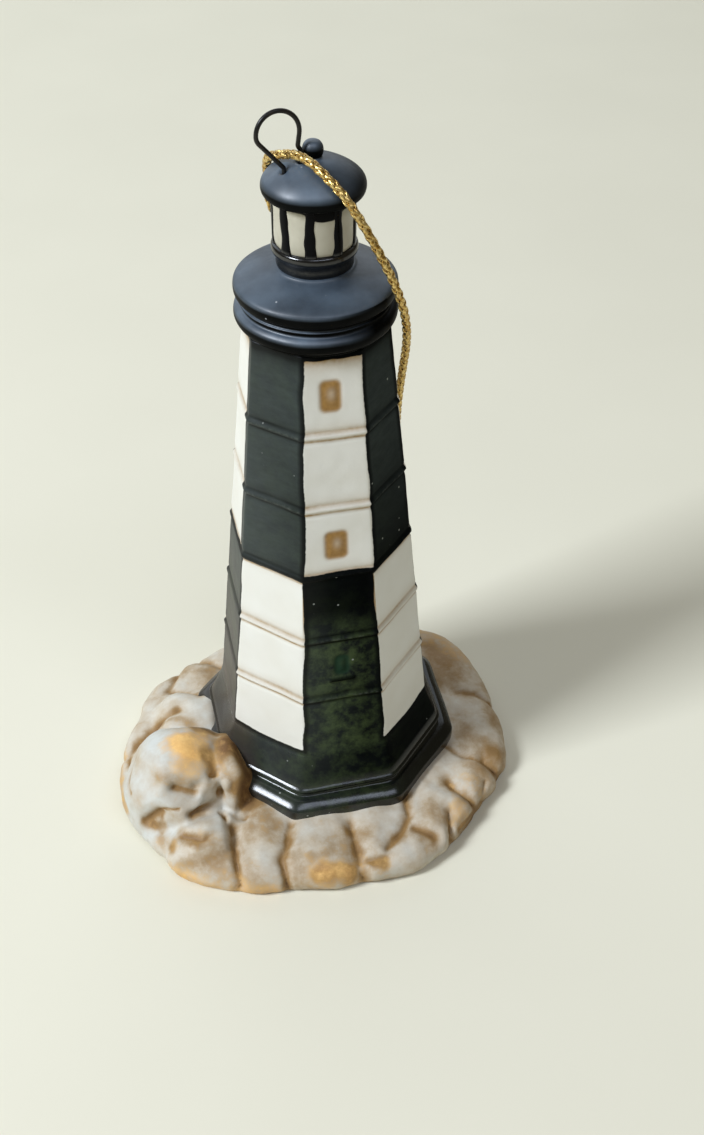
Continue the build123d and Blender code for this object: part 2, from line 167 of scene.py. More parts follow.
# Across a crevice or a mark, as share, reach in half widths and steepness: its hollow, and the stain in it
crevice_hollow = ((0.6, 1.4, 2), (0.5, 0.4, 1))
crevice_stain = ((0.5, 0.9, 2), (0.8, 3.4, 2))
chisel_stain = ((0.85, 0.8, 2), (0.6, 2.4, 2))
rock_voxel = 0.3
cobble_swell = 0.42
cobble_sink = 0.22
cobble_round = 2.6
# Unevenness of the cast and of the thin wash: height or strength, size in mm, pattern
rock_lumps = ((0.32, 4.5, 3.0), (0.14, 1.7, 9.0))
thin_wash_clouds = ((0.44, 7.0, 29.0), (0.42, 3.2, 37.0))
thin_wash_share = 0.48
# More wash to the right and to the front: strength, where it begins, over how far
wash_to_right = (0.4, 14.0, 6.0)
wash_to_front = (0.15, -17.0, -4.0)
# Round the plinth, along the foot and off the boulder: strength, middle and reach
plinth_wash = (0.55, 18.7, 2.2)
plinth_wash_top = 7.0
foot_wash = (0.45, 0.0, 0.8)
worn_white = (0.15, 0.0, 0.3)
cool_boulder = 0.35
# How strong the stain in the crevices is, and how it comes and goes
stain_share = 0.95
stain_clouds = ((0.5, 2.6, 33.0),)
# Where the relief sets in above the table, and where the boulder ends in half sizes: start, over how far
flat_foot = (0.15, 0.8)
boulder_skin = (1.02, 0.12)
vent_radius = 2.5
vent_place = (0.0, 7.0)
vent_start = -1.0
vent_depth = 5.0


def linear(hex_colour):
    """Linear RGBA of an sRGB hex colour."""
    shares = [int(hex_colour[i : i + 2], 16) / 255 for i in (0, 2, 4)]
    return tuple(s / 12.92 if s <= 0.04045 else ((s + 0.055) / 1.055) ** 2.4 for s in shares) + (1.0,)


def node(tree, kind, inputs=(), **settings):
    """Adds a node with its settings; inputs fill its live sockets in order, or those that a dict names.

    Each input is a value, a socket, or a node, which gives its first live output.
    """
    made = tree.nodes.new(kind)
    for name, value in settings.items():
        setattr(made, name, value)
    live = [socket for socket in made.inputs if socket.enabled]
    if isinstance(inputs, dict):
        named = {socket.name: socket for socket in live}
        live = [named[name] for name in inputs]
        inputs = inputs.values()
    for socket, value in zip(live, inputs):
        if isinstance(value, bpy.types.Node):
            value = next(output for output in value.outputs if output.enabled)
        if isinstance(value, bpy.types.NodeSocket):
            tree.links.new(value, socket)
        else:
            socket.default_value = value
    return made


def new_material(name):
    """Empty node material, its tree, and the piece's own coordinates in it."""
    material = bpy.data.materials.new(name)
    material.use_nodes = True
    material.node_tree.nodes.clear()
    return material, material.node_tree, node(material.node_tree, "ShaderNodeTexCoord").outputs["Object"]


def put_in_scene(name, data):
    """New object at the origin of the scene."""
    made = bpy.data.objects.new(name, data)
    bpy.context.scene.collection.objects.link(made)
    return made


def new_piece(name, points, faces, *materials):
    """Smooth mesh object at the origin, from points in mm."""
    mesh = bpy.data.meshes.new(name)
    mesh.from_pydata((np.asarray(points) * mm).tolist(), [], faces)
    for material in materials:
        mesh.materials.append(material)
    mesh.shade_smooth()
    return put_in_scene(name, mesh)


def plain_mesh(piece):
    """The piece's mesh with its modifiers worked in, and none left on it."""
    evaluated = piece.evaluated_get(bpy.context.evaluated_depsgraph_get())
    mesh = bpy.data.meshes.new_from_object(evaluated)
    mesh.name = piece.name
    piece.modifiers.clear()
    piece.data = mesh
    mesh.shade_smooth()
    return mesh


def skin(rings):
    """Points and faces of a solid through closed rings of points, capped at both ends."""
    rings = np.asarray(rings)
    rows, columns = rings.shape[:2]
    faces = [tuple(reversed(range(columns)))]
    for low in range(0, (rows - 1) * columns, columns):
        for c in range(columns):
            after = (c + 1) % columns
            faces.append((low + c, low + after, low + columns + after, low + columns + c))
    faces.append(tuple(range((rows - 1) * columns, rows * columns)))
    return rings.reshape(-1, 3), faces


def ripple(points, grain, shift=0.0):
    """Smooth noise, about -1 to 1, at points in mm; grain is its size and shift picks a pattern."""
    offset = Vector((shift, shift * 0.7, shift * 1.3))
    return np.array([noise.noise(Vector(p) / grain + offset) for p in points])


def ripples(points, waves):
    """Sum of ripples, each given as height, size in mm and pattern."""
    return sum(height * ripple(points, grain, shift) for height, grain, shift in waves)


def fading(values, strength, middle, reach, power=2):
    """Strength at a middle value, which fades to nothing over the reach on both sides."""
    return strength * np.exp(-(((values - middle) / reach) ** power))


def ramp(values, start, run):
    """Rises from 0 at a start to 1 after the run, which is negative for a fall."""
    return np.clip((values - start) / run, 0, 1)


def segment_distance(points, start, end):
    """Distance of each point from a straight segment."""
    start = np.array(start, float)
    run = np.array(end, float) - start
    along = np.clip((points - start) @ run / (run @ run), 0, 1)
    return np.linalg.norm(points - start - along[:, None] * run, axis=1)


def unit(direction, tilt):
    """Unit vector from a direction in plan and a tilt above it, in degrees."""
    level = math.cos(math.radians(tilt))
    turn = math.radians(direction)
    return np.array((level * math.cos(turn), level * math.sin(turn), math.sin(math.radians(tilt))))


def vertex_values(mesh, name):
    """Places or normals of a mesh's vertices, one row each."""
    values = np.empty(len(mesh.vertices) * 3)
    mesh.vertices.foreach_get(name, values)
    return values.reshape(-1, 3)


def set_attribute(mesh, name, values):
    """Stores one number per point for the material to read."""
    attribute = mesh.attributes.new(name, "FLOAT", "POINT")
    attribute.data.foreach_set("value", np.asarray(values, np.float32).ravel())


# Bisque is fired unglazed clay: chalky and fine grained, so it shades softly with a weak, broad highlight
rock_bisque, tree, place = new_material("washed_bisque")
cool_amount, tan_amount, orange_amount = (
    node(tree, "ShaderNodeAttribute", attribute_name=name).outputs["Fac"]
    for name in ("cool", "wash", "orange")
)
# Patterns: size in mm, detail, roughness
cloud, brush, grain = (
    node(tree, "ShaderNodeTexNoise", (place, 1 / (size * mm), detail, rough))
    for size, detail, rough in ((7.0, 3.0, 0.5), (1.3, 5.0, 0.65), (0.3, 2.0, 0.5))
)
cool_share = node(tree, "ShaderNodeMath", (cloud, 0.45, cool_amount), operation="MULTIPLY_ADD")
tan_broken = node(tree, "ShaderNodeMath", (brush, 0.8, tan_amount), operation="MULTIPLY_ADD")
orange_broken = node(tree, "ShaderNodeMath", (brush, 1.5, orange_amount), operation="MULTIPLY_ADD")
# What is read, its two ends, and the value that each end gives
tan_share, dark_share, orange_share, chalk = (
    node(tree, "ShaderNodeMapRange", ends)
    for ends in (
        (tan_broken, 0.45, 1.55, 0.0, 1.0),
        (tan_broken, 1.05, 2.15, 0.0, 1.0),
        (orange_broken, 0.95, 2.2, 0.0, 1.0),
        (brush, 0.0, 1.0, 0.5, 0.72),
    )
)
rust = node(tree, "ShaderNodeMix", (brush, linear("c88634"), linear("fcd68c")), data_type="RGBA")
colour = linear("dcd9cc")
for share, coat in (
    (cool_share, linear("bac0be")),
    (tan_share, linear("a68653")),
    (dark_share, linear("71502a")),
    (orange_share, rust),
):
    colour = node(tree, "ShaderNodeMix", (share, colour, coat), data_type="RGBA")
pores = node(tree, "ShaderNodeBump", {"Height": grain, "Strength": 0.25, "Distance": 0.05 * mm})
surface = node(
    tree, "ShaderNodeBsdfPrincipled", {"Base Color": colour, "Roughness": chalk, "Normal": pores, "IOR": 1.5}
)
node(tree, "ShaderNodeOutputMaterial", {"Surface": surface})

# The cobbled foot: the outline, swept round the rim's section
round_steps = np.arange(-180, 180, 1.0)
directions, reaches = zip(*rock_outline)
reach = np.interp(round_steps, directions, reaches, period=360)
reach = np.mean([np.roll(reach, shift) for shift in range(-outline_blur, outline_blur + 1)], axis=0)
plan = np.column_stack([np.cos(np.radians(round_steps)), np.sin(np.radians(round_steps))])
rock_rings = [
    np.column_stack([plan * (reach - inset)[:, None], np.full(len(plan), height)])
    for inset, height in rock_section
]
rock = new_piece("rock", *skin(rock_rings), rock_bisque)

# The boulders: round stones with flat breaks, grown into the foot
stones = bmesh.new()
stones.from_mesh(rock.data)
for centre, half_size in boulders:
    ball = bmesh.ops.create_icosphere(stones, subdivisions=5, radius=1.0)["verts"]
    for vert in ball:
        spot = np.array(vert.co)
        for direction, tilt, share in boulder_breaks:
            outward = unit(direction, tilt)
            spot = spot - max(0.0, spot @ outward - share) * outward
        vert.co = Vector((np.array(centre) + spot * np.array(half_size)) * mm)
        vert.co.z = max(vert.co.z, boulder_low * mm)
stones.to_mesh(rock.data)
stones.free()
grown = rock.modifiers.new("grown_together", "REMESH")
grown.mode = "VOXEL"
grown.voxel_size = rock_voxel * mm
worn = rock.modifiers.new("worn", "SMOOTH")
worn.factor = 0.5
worn.iterations = 5
rock_mesh = plain_mesh(rock)

# Swelling cobbles between the crevices, chisel marks and the grain of the cast
spots = vertex_values(rock_mesh, "co") / mm
normals = vertex_values(rock_mesh, "normal")
above_foot = ramp(spots[:, 2], *flat_foot)
boulder_centre, boulder_half = boulders[0]
off_boulder = ramp(np.linalg.norm((spots - boulder_centre) / boulder_half, axis=1), *boulder_skin)
groove = np.zeros(len(spots))
wash = np.zeros(len(spots))
nearest = np.full(len(spots), 99.0)
strayed = spots[:, :2] + crevice_wander * np.column_stack(
    [ripple(spots, crevice_grain, shift) for shift in (13.0, 19.0)]
)
for start, end, width, depth in crevices:
    gap = segment_distance(strayed, start, end)
    nearest = np.minimum(nearest, gap)
    hollow = sum(fading(gap, share, 0.0, far * width, power) for share, far, power in crevice_hollow)
    groove = np.maximum(groove, depth * hollow * off_boulder)
    stain = sum(fading(gap, share, 0.0, far * width, power) for share, far, power in crevice_stain)
    wash = np.maximum(wash, stain * off_boulder)
wash *= stain_share + ripples(spots, stain_clouds)
for start, end, width, depth in chisel_marks:
    gap = segment_distance(spots, start, end)
    groove = np.maximum(groove, fading(gap, depth, 0.0, width))
    stain = sum(fading(gap, share, 0.0, far * width, power) for share, far, power in chisel_stain)
    wash = np.maximum(wash, stain)
swell = (cobble_swell * (1 - fading(nearest, 1.0, 0.0, cobble_round)) - cobble_sink) * off_boulder
moved = spots + normals * ((swell - groove + ripples(spots, rock_lumps)) * above_foot)[:, None]
moved = np.clip(moved, np.array(cad_low) / mm, np.array(cad_high) / mm)
rock_mesh.vertices.foreach_set("co", (moved * mm).ravel())
rock_mesh.update()

# Where the ochre wash was left: crevices, round the plinth, along the foot and in loose patches
orange = np.zeros(len(spots))
blurred = spots + patch_wander * np.column_stack(
    [ripple(spots, patch_grain, shift) for shift in (51.0, 57.0, 63.0)]
)
for start, end, radius, tan, strong in ochre_patches:
    fade = fading(segment_distance(blurred, start, end), 1.0, 0.0, radius)
    wash = np.maximum(wash, tan * fade)
    orange = np.maximum(orange, strong * fade)
thin_wash = thin_wash_share + ripples(spots, thin_wash_clouds) - fading(off_boulder, *worn_white)
for axis, (strength, start, run) in enumerate((wash_to_right, wash_to_front)):
    thin_wash += strength * ramp(spots[:, axis], start, run)
by_plinth = fading(np.linalg.norm(spots[:, :2], axis=1), *plinth_wash) * (spots[:, 2] < plinth_wash_top)
wash = np.maximum.reduce([wash, by_plinth, fading(spots[:, 2], *foot_wash), thin_wash])
set_attribute(rock_mesh, "wash", wash)
set_attribute(rock_mesh, "orange", orange)
set_attribute(rock_mesh, "cool", cool_boulder * (1 - off_boulder))

# The vent, bored from below
vent_rings = [
    np.column_stack([plan * vent_radius + vent_place, np.full(len(plan), height)])
    for height in (vent_start, vent_depth)
]
vent = new_piece("vent_cutter", *skin(vent_rings))
bored = rock.modifiers.new("bored", "BOOLEAN")
bored.object = vent
bored.solver = "EXACT"
plain_mesh(rock)
bpy.data.objects.remove(vent)
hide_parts("rock_base")
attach(rock, "root")

# Tower
# A hollow octagonal casting with a rolled plinth, a flared skirt and raised courses round the shaft.
# It is white bisque with black panels painted by hand, so every edge of the paint wanders a little.
tower_sides = 8
side_turn = 45
flat_share = math.cos(math.pi / tower_sides)
side_share = math.tan(math.pi / tower_sides)
corner_power = 130.0
foot_corner_power = 48.0
shaft_foot = 14.0
shaft_top = 71.8
shaft_foot_corner = 14.6
shaft_top_corner = 8.6
skirt_foot = 8.55
skirt_corner = 16.75
skirt_curve = 1.3
tower_lumps = ((0.09, 6.0, 17.0), (0.03, 1.6, 23.0))
# Plinth from the seat up, before the skirt, as corners to be rounded: height and corner radius
plinth_section = [
    (4.0, 18.9), (4.4, 19.1), (5.9, 19.14), (6.25, 19.08), (6.92, 18.05), (7.02, 17.6), (7.05, 16.95),
    (7.4, 16.7), (7.85, 16.75), (8.05, 17.12), (8.25, 17.12), (8.5, 16.76),
]
plinth_turn = -1.5
plinth_turn_top = 7.4
plinth_turn_run = 0.6
# Points across a face and rows up the tower
front_columns = 72
side_columns = 22
skirt_rows = 26
shaft_rows = 255
course_count = 5
course_first = 22.6
course_pitch = 9.75
course_proud = 0.2
course_half = 0.4
course_wander = 0.14
course_bend = 5.0
bead_power = 1.5
# Ring on which the wander of the hand-drawn lines is read
track_radius = 12.0
# How strong the wash along a course is, how much that changes, over how far, and how much more there is below
course_wash = 0.8
course_wash_change = 0.5
course_wash_bend = 3.2
wash_below_more = 0.1
# Along each course, as strength, height from its middle and reach: hollow, crest (lighter on the black: worn
# paint and partly a painted highlight) and the ochre wash
course_hollow = (0.09, 0.62, 0.3)
course_crest = (1.0, -0.05, 0.16)
wash_above = (0.6, 0.56, 0.25)
wash_below = (1.0, -0.5, 0.2)
wash_haze = (0.2, 0.7, 0.9)
# Windows on the front face: place across it, height above the table, width, height, depth of the groove
windows = [(-0.25, 66.65, 2.5, 4.0, 0.08), (-0.15, 46.6, 2.9, 4.1, 0.08), (0.05, 27.9, 2.0, 3.2, 0.14)]
window_groove = 0.65
window_corner = 0.75
window_soft = 0.5
window_paint_soft = 0.09
# Pale spot in a window's paint: place from its middle, half width and half height, strength
pale_spot = (0.1, 0.25)
pale_half = (0.5, 0.75)
pale_strength = 0.3
# Sill of the lower window: place across, height, width and height of it, how proud and how soft it is
lower_sill = (0.05, 25.6, 3.2, 0.45)
sill_proud = 0.3
sill_soft = 0.25
paint_split = 42.1
paint_gap = 0.5
paint_foot = 14.1
paint_bow = 0.45
paint_top = 71.15
# How the edges of the paint wander along the corners, the split, the foot and the top
paint_wander = ((0.3, 7.0, 5.0), (0.165, 2.4, 8.0))
split_wander = ((0.3, 4.0, 41.0),)
foot_wander = ((0.2, 4.0, 43.0),)
top_wander = ((0.25, 3.0, 47.0),)
# Corners of the upper half where the black was carried past the edge: corner number and how far
paint_slip = {6: -1.3, 7: 0.3}
# The black is thicker on the front below the split and on the skirt: where it begins, over how far, how much
thick_coat = (32.5, 5.0, 0.9)
thick_foot = (shaft_foot, -2.0, 0.6)
# Black round the sill, paint and partly a painted shadow under it: strength and reach
sill_paint_and_shadow = (0.8, 0.3)
# Under the top, black and wash that are partly a painted shade under the gallery ring, and black pooled at
# the split: strength, middle and reach
top_pool_and_shade = (0.95, 0.0, 0.8)
split_pool = (0.5, 0.0, 0.8)


def finer(section, rounds=3):
    """The section with its corners cut finer and finer, which makes a smooth curve."""
    points = [np.array(p, float) for p in section]
    for _ in range(rounds):
        cut = [points[0]]
        for near, far in zip(points, points[1:]):
            cut += [0.75 * near + 0.25 * far, 0.25 * near + 0.75 * far]
        points = cut + [points[-1]]
    return [tuple(p) for p in points]


def bare_flecks(tree, place, spacing, solid, gone, rarity):
    """Share of small flecks of bare clay, one in each of the rarer cells, whose spacing is in mm."""
    cells = node(
        tree, "ShaderNodeTexVoronoi", {"Vector": place, "Scale": 1 / (spacing * mm), "Randomness": 1.0}
    )
    size = node(tree, "ShaderNodeMapRange", (cells, solid, gone, 1.0, 0.0))
    pick = node(tree, "ShaderNodeSeparateColor", {"Color": cells.outputs["Color"]})
    rare = node(tree, "ShaderNodeMath", (pick, rarity), operation="GREATER_THAN")
    return node(tree, "ShaderNodeMath", (size, rare), operation="MULTIPLY")


# Painted bisque: white clay body, and black underglaze that dries satin on the shaft
# and glossier on the skirt
tower_paint, tree, place = new_material("painted_bisque")
panel_amount, wash_amount, window_amount, crest_amount = (
    node(tree, "ShaderNodeAttribute", attribute_name=name).outputs["Fac"]
    for name in ("panel", "wash", "window", "crest")
)
stretch = node(tree, "ShaderNodeMapping", {"Vector": place, "Scale": (1.0, 1.0, 2.6)})
# Patterns: coordinates, size in mm, detail, roughness
cloud, fine, strokes, patches = (
    node(tree, "ShaderNodeTexNoise", (where, 1 / (size * mm), detail, rough))
    for where, size, detail, rough in (
        (place, 5.0, 2.0, 0.5),
        (place, 0.5, 3.0, 0.5),
        (stretch, 2.2, 6.0, 0.7),
        (place, 2.6, 5.0, 0.7),
    )
)
flecks = bare_flecks(tree, place, spacing=1.5, solid=0.06, gone=0.11, rarity=0.8)
paint_edge = node(tree, "ShaderNodeMath", (fine, 0.16, panel_amount), operation="MULTIPLY_ADD")
sideways, _, upright = node(tree, "ShaderNodeSeparateXYZ", {"Vector": place}).outputs
# What is read, its two ends, and the value that each end gives
paint = {
    name: node(tree, "ShaderNodeMapRange", ends)
    for name, ends in {
        "white": (paint_edge, 0.03, 0.13, 0.0, 1.0),
        "wash broken": (fine, 0.0, 1.0, 0.6, 1.25),
        "brushed": (strokes, 0.35, 0.68, 0.0, 1.0),
        "green": (patches, 0.4, 0.62, 0.0, 1.0),
        "green side": (sideways, 0.0, 9 * mm, 0.9, 0.05),
        "green low": (upright, 32 * mm, 41 * mm, 1.0, 0.15),
        "worn": (strokes, 0.0, 1.0, 0.25, 0.62),
        # Worn paint lighter towards the left: real wear, and partly painted light where the key falls
        "thin and lit side": (sideways, -10 * mm, 3 * mm, 1.0, 0.12),
        "thin high": (upright, 42.5 * mm, 60 * mm, 0.1, 0.85),
        # Warm grey painted light on the far left face, lit edge-on by the key
        "painted light far left": (sideways, -12.8 * mm, -10.6 * mm, 0.6, 0.0),
        # Breaks up the lighter crests: worn paint, and partly a painted highlight
        "painted_sheen": (fine, 0.42, 0.75, 0.0, 0.35),
        "border": (panel_amount, -0.9, -0.4, 0.0, 0.8),
        "shaft gloss": (upright, 12 * mm, 16 * mm, 0.14, 0.36),
        "side shine": (sideways, -9 * mm, -1 * mm, 0.2, 0.006),
        "above plinth": (upright, 8.6 * mm, 9.4 * mm, 0.0, 1.0),
    }.items()
}
# Shares worked out from two others, in the order in which they are needed
for name, first, operation, second in (
    ("washed", paint["wash broken"], "MULTIPLY", wash_amount),
    ("green here", paint["green side"], "MULTIPLY", paint["green low"]),
    ("thin and lit here", paint["thin and lit side"], "MAXIMUM", paint["thin high"]),
    ("crest wear and highlight", paint["painted_sheen"], "MULTIPLY", crest_amount),
    ("pooled and shade", wash_amount, "MULTIPLY", 0.92),
):
    paint[name] = node(tree, "ShaderNodeMath", (first, second), operation=operation)
green_share = node(tree, "ShaderNodeMath", (paint["green"], paint["green here"]), operation="MULTIPLY")
worn_and_lit_share = node(tree, "ShaderNodeMath", (paint["worn"], paint["thin and lit here"]), operation="MULTIPLY")
glass = node(tree, "ShaderNodeMix", (fine, linear("7e5a1c"), linear("a87d3a")), data_type="RGBA")
pale_side = linear("e5e5de")
for share, coat in ((cloud, linear("d9d6ca")), (paint["washed"], linear("97722f")), (window_amount, glass)):
    pale_side = node(tree, "ShaderNodeMix", (share, pale_side, coat), data_type="RGBA")
dark_side = linear("020303")
for share, coat in (
    (paint["brushed"], "0b0e0b"),
    (green_share, "424f2d"),
    # Worn paint, lighter towards the left, partly painted light
    (worn_and_lit_share, "525b59"),
    # Warm grey painted light on the far left face
    (paint["painted light far left"], "5b5049"),
    # Lighter crests of the courses on the black: worn paint and partly a painted highlight
    (paint["crest wear and highlight"], "7b807a"),
    (paint["pooled and shade"], "020303"),
    (paint["border"], "090a0b"),
    (window_amount, "213527"),
    (flecks, "8f938d"),
):
    dark_side = node(tree, "ShaderNodeMix", (share, dark_side, linear(coat)), data_type="RGBA")
painted = node(tree, "ShaderNodeMix", (paint["white"], dark_side, pale_side), data_type="RGBA")
black_shine = node(tree, "ShaderNodeMix", (paint["above plinth"], 0.42, paint["side shine"]))
black_gloss = node(tree, "ShaderNodeMath", (strokes, 0.16, paint["shaft gloss"]), operation="MULTIPLY_ADD")
shine = node(tree, "ShaderNodeMix", (paint["white"], black_shine, 0.5))
gloss = node(tree, "ShaderNodeMix", (paint["white"], black_gloss, 0.42))
brush_marks = node(tree, "ShaderNodeBump", {"Height": strokes, "Strength": 0.22, "Distance": 0.08 * mm})
surface = node(
    tree,
    "ShaderNodeBsdfPrincipled",
    {"Base Color": painted, "Roughness": gloss, "Normal": brush_marks, "Specular IOR Level": shine},
)
node(tree, "ShaderNodeOutputMaterial", {"Surface": surface})

# Columns of points: close together at the corners, and closer over the face with the windows
columns = []
for face in range(tower_sides):
    count = front_columns if face == 0 else side_columns
    for step in range(count):
        share = math.sin(math.pi / 2 * (2 * step / count - 1))
        columns.append((face, share, math.radians(side_turn * face - 90) + math.atan(share * side_share)))
column_face, column_share, column_turn = np.array(columns).T
column_face = column_face.astype(int)
face_turns = np.radians(side_turn * np.arange(tower_sides) - 90)
facing = np.clip(np.cos(column_turn[:, None] - face_turns), 0, None)

# Rows of points: plinth, skirt and shaft
tower_rows = finer(plinth_section)
for share in np.linspace(1, 0, skirt_rows)[:-1]:
    flare = (skirt_corner - shaft_foot_corner) * share**skirt_curve
    tower_rows.append((shaft_foot - (shaft_foot - skirt_foot) * share, shaft_foot_corner + flare))
taper = (shaft_foot_corner - shaft_top_corner) / (shaft_top - shaft_foot)
for rise in np.linspace(shaft_foot, shaft_top, shaft_rows):
    tower_rows.append((rise, shaft_foot_corner - taper * (rise - shaft_foot)))
row_height, row_corner = np.array(tower_rows).T
row_flat = row_corner * flat_share
row_power = np.interp(row_height, [skirt_foot, shaft_foot], [foot_corner_power, corner_power])
soft_octagon = np.array([(facing**power).sum(axis=1) ** (-1 / power) for power in row_power])
height_at = np.repeat(row_height[:, None], len(column_turn), axis=1)
half_face = row_flat[:, None] * side_share
across = half_face * column_share[None, :]

# Hand-made relief: courses that wander, shallow hollows beside them, windows and the sill
track = np.column_stack(
    [np.cos(column_turn) * track_radius, np.sin(column_turn) * track_radius, np.zeros(len(column_turn))]
)
relief = np.zeros_like(height_at)
crest = np.zeros_like(height_at)
wash = np.zeros_like(height_at)
for course in range(course_count):
    middle = course_first + course * course_pitch + course_wander * ripple(track, course_bend, 11.0 + course)
    off = height_at - middle[None, :]
    bead = np.clip(1 - (off / course_half) ** 2, 0, None) ** bead_power
    relief += course_proud * bead - fading(np.abs(off), *course_hollow)
    crest = np.maximum(crest, fading(off, *course_crest))
    strength = (course_wash + course_wash_change * ripple(track, course_wash_bend, 31.0 + course))[None, :]
    lines = np.maximum(
        fading(off, *wash_above) * strength, fading(off, *wash_below) * (strength + wash_below_more)
    )
    wash = np.maximum(wash, np.clip(lines + fading(off, *wash_haze), 0, 1))
front = (column_face == 0)[None, :] & np.ones_like(height_at, bool)
window_paint = np.zeros_like(height_at)
for middle, level, width, tall, depth in windows:
    over_side = np.abs(across - middle) - width / 2 + window_corner
    over_end = np.abs(height_at - level) - tall / 2 + window_corner
    past_corner = np.hypot(np.maximum(over_side, 0), np.maximum(over_end, 0))
    outside = past_corner + np.minimum(np.maximum(over_side, over_end), 0) - window_corner
    outer_edge = np.clip(0.5 - outside / window_soft, 0, 1)
    inner_edge = np.clip(0.5 + (outside + window_groove) / window_soft, 0, 1)
    relief -= np.where(front, depth * (outer_edge * inner_edge), 0)
    from_pale = np.hypot(
        (across - middle - pale_spot[0]) / pale_half[0], (height_at - level - pale_spot[1]) / pale_half[1]
    )
    fill = (1 - fading(from_pale, pale_strength, 0.0, 1.0)) / (1 + np.exp(outside / window_paint_soft))
    window_paint = np.maximum(window_paint, np.where(front, fill, 0))
sill_middle, sill_level, sill_wide, sill_tall = lower_sill
off_sill = np.maximum(
    np.abs(across - sill_middle) - sill_wide / 2, np.abs(height_at - sill_level) - sill_tall / 2
)
relief += np.where(front, sill_proud * np.clip(0.5 - off_sill / sill_soft, 0, 1), 0)
radius_at = row_flat[:, None] * soft_octagon + relief
tower_rings = np.stack([radius_at * np.cos(column_turn), radius_at * np.sin(column_turn), height_at], axis=-1)
radius_at = radius_at + ripples(tower_rings.reshape(-1, 3), tower_lumps).reshape(radius_at.shape)
turn_at = column_turn + math.radians(plinth_turn) * ramp(height_at, plinth_turn_top, -plinth_turn_run)
tower_rings = np.stack([radius_at * np.cos(turn_at), radius_at * np.sin(turn_at), height_at], axis=-1)
tower = new_piece("tower", *skin(tower_rings), tower_paint)

# Paint: distance inside the white panels, which change sides half way up
corner_of = np.where(column_share >= 0, column_face, column_face - 1) % tower_sides
offset = np.where(column_share >= 0, -(1 - column_share), 1 + column_share)[None, :] * half_face
wander = np.empty((len(row_height), tower_sides))
for corner in range(tower_sides):
    line = np.column_stack([np.full(len(row_height), 40.0 * corner), np.zeros(len(row_height)), row_height])
    slip = np.where(row_height > paint_split, paint_slip.get(corner, 0.0), 0.0)
    wander[:, corner] = ripples(line, paint_wander) + slip
after_white = np.where((corner_of + 1) % 2 == 0, 1.0, -1.0)
beside = after_white[None, :] * (offset - wander[:, corner_of])
above = height_at - paint_split - ripples(track, split_wander)
panel = np.maximum(np.minimum(beside, above - paint_gap), np.minimum(-beside, -above - paint_gap))
lower_edge = height_at - (paint_foot - paint_bow * (1 - column_share**2) + ripples(track, foot_wander))
upper_edge = paint_top + ripples(track, top_wander) - height_at
panel = np.minimum(panel, np.minimum(lower_edge, upper_edge))

# Where the wash and the black pool: along the courses, the split, and where it is thick; round the sill and
# under the top it is partly a painted shade
coat_from, coat_run, coat_most = thick_coat
foot_from, foot_run, foot_most = thick_foot
by_sill = np.clip(sill_paint_and_shadow[0] - off_sill / sill_paint_and_shadow[1], 0, 1)
thick_front = np.minimum(ramp(height_at, coat_from, coat_run), coat_most)
wash = np.maximum.reduce([
    wash,
    np.where(front, by_sill, 0),
    np.where(front & (height_at < paint_split), thick_front, 0),
    foot_most * ramp(height_at, foot_from, foot_run),
    fading(np.clip(upper_edge, 0, None), *top_pool_and_shade, power=1),
    fading(above, *split_pool),
])
for name, values in (("crest", crest), ("panel", panel), ("wash", wash), ("window", window_paint)):
    set_attribute(tower.data, name, values)
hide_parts("tower_shaft")
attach(tower, "root")

# Gallery
# A round casting stuck on the shaft: a rolled ring, a neck with a fine ledge, and the deck above.
# It is painted with the same black as the tower, with a painted slate sheen on the deck and on the top of the
# ring.
# Corners of the section, to be rounded: radius and height
gallery_section = [
    (7.8, 71.75), (8.45, 71.75), (8.45, 72.3), (8.95, 72.35), (9.26, 72.85), (9.24, 73.65), (8.85, 74.05),
    (8.42, 74.2), (8.42, 74.68), (8.66, 74.72), (8.64, 74.92), (8.42, 74.96), (8.42, 75.45), (9.0, 75.55),
    (9.18, 76.1), (9.14, 76.9), (8.6, 77.35), (7.0, 77.9), (5.2, 78.4), (4.62, 78.58), (4.4, 78.85),
    (3.6, 78.9),
]
lathe_columns = 160
# Size in mm of the unevenness in radius and in height, and how much weaker the second is
wobble_size = 4.0
rise_size = 5.0
rise_share = 0.6
# How far a surface has to face up to take the painted sheen: where it begins, over how much more
painted_sheen_slope = (0.1, 0.55)


def turned(section, unevenness, shift):
    """Rings of points of a hand-finished round piece, from its section as (radius, height)."""
    turns = np.linspace(0, 2 * math.pi, lathe_columns, endpoint=False)
    points = np.array([
        np.column_stack([radius * np.cos(turns), radius * np.sin(turns), np.full(lathe_columns, level)])
        for radius, level in section
    ])
    spots = points.reshape(-1, 3)
    from_axis = np.maximum(np.linalg.norm(spots[:, :2], axis=1), 1.0)
    push = 1 + unevenness * ripple(spots, wobble_size, shift) / from_axis
    points[..., :2] *= push.reshape(points.shape[:2])[..., None]
    rise = rise_share * unevenness * ripple(spots, rise_size, shift + 3.0)
    points[..., 2] += rise.reshape(points.shape[:2])
    return points


def set_painted_sheen(piece, low, dark_from, dark_to, least, top_sheen_share=1.0):
    """Stores the painted sheen where the surface faces up: in full above a height, below it less and less to
    the right.
    """
    places = vertex_values(piece.data, "co") / mm
    fade = np.interp(places[:, 0], [dark_from, dark_to], [1.0, least])
    share = np.where(places[:, 2] < low, fade, top_sheen_share)
    facing_up = vertex_values(piece.data, "normal")[:, 2]
    set_attribute(piece.data, "painted_sheen", share * ramp(facing_up, *painted_sheen_slope))
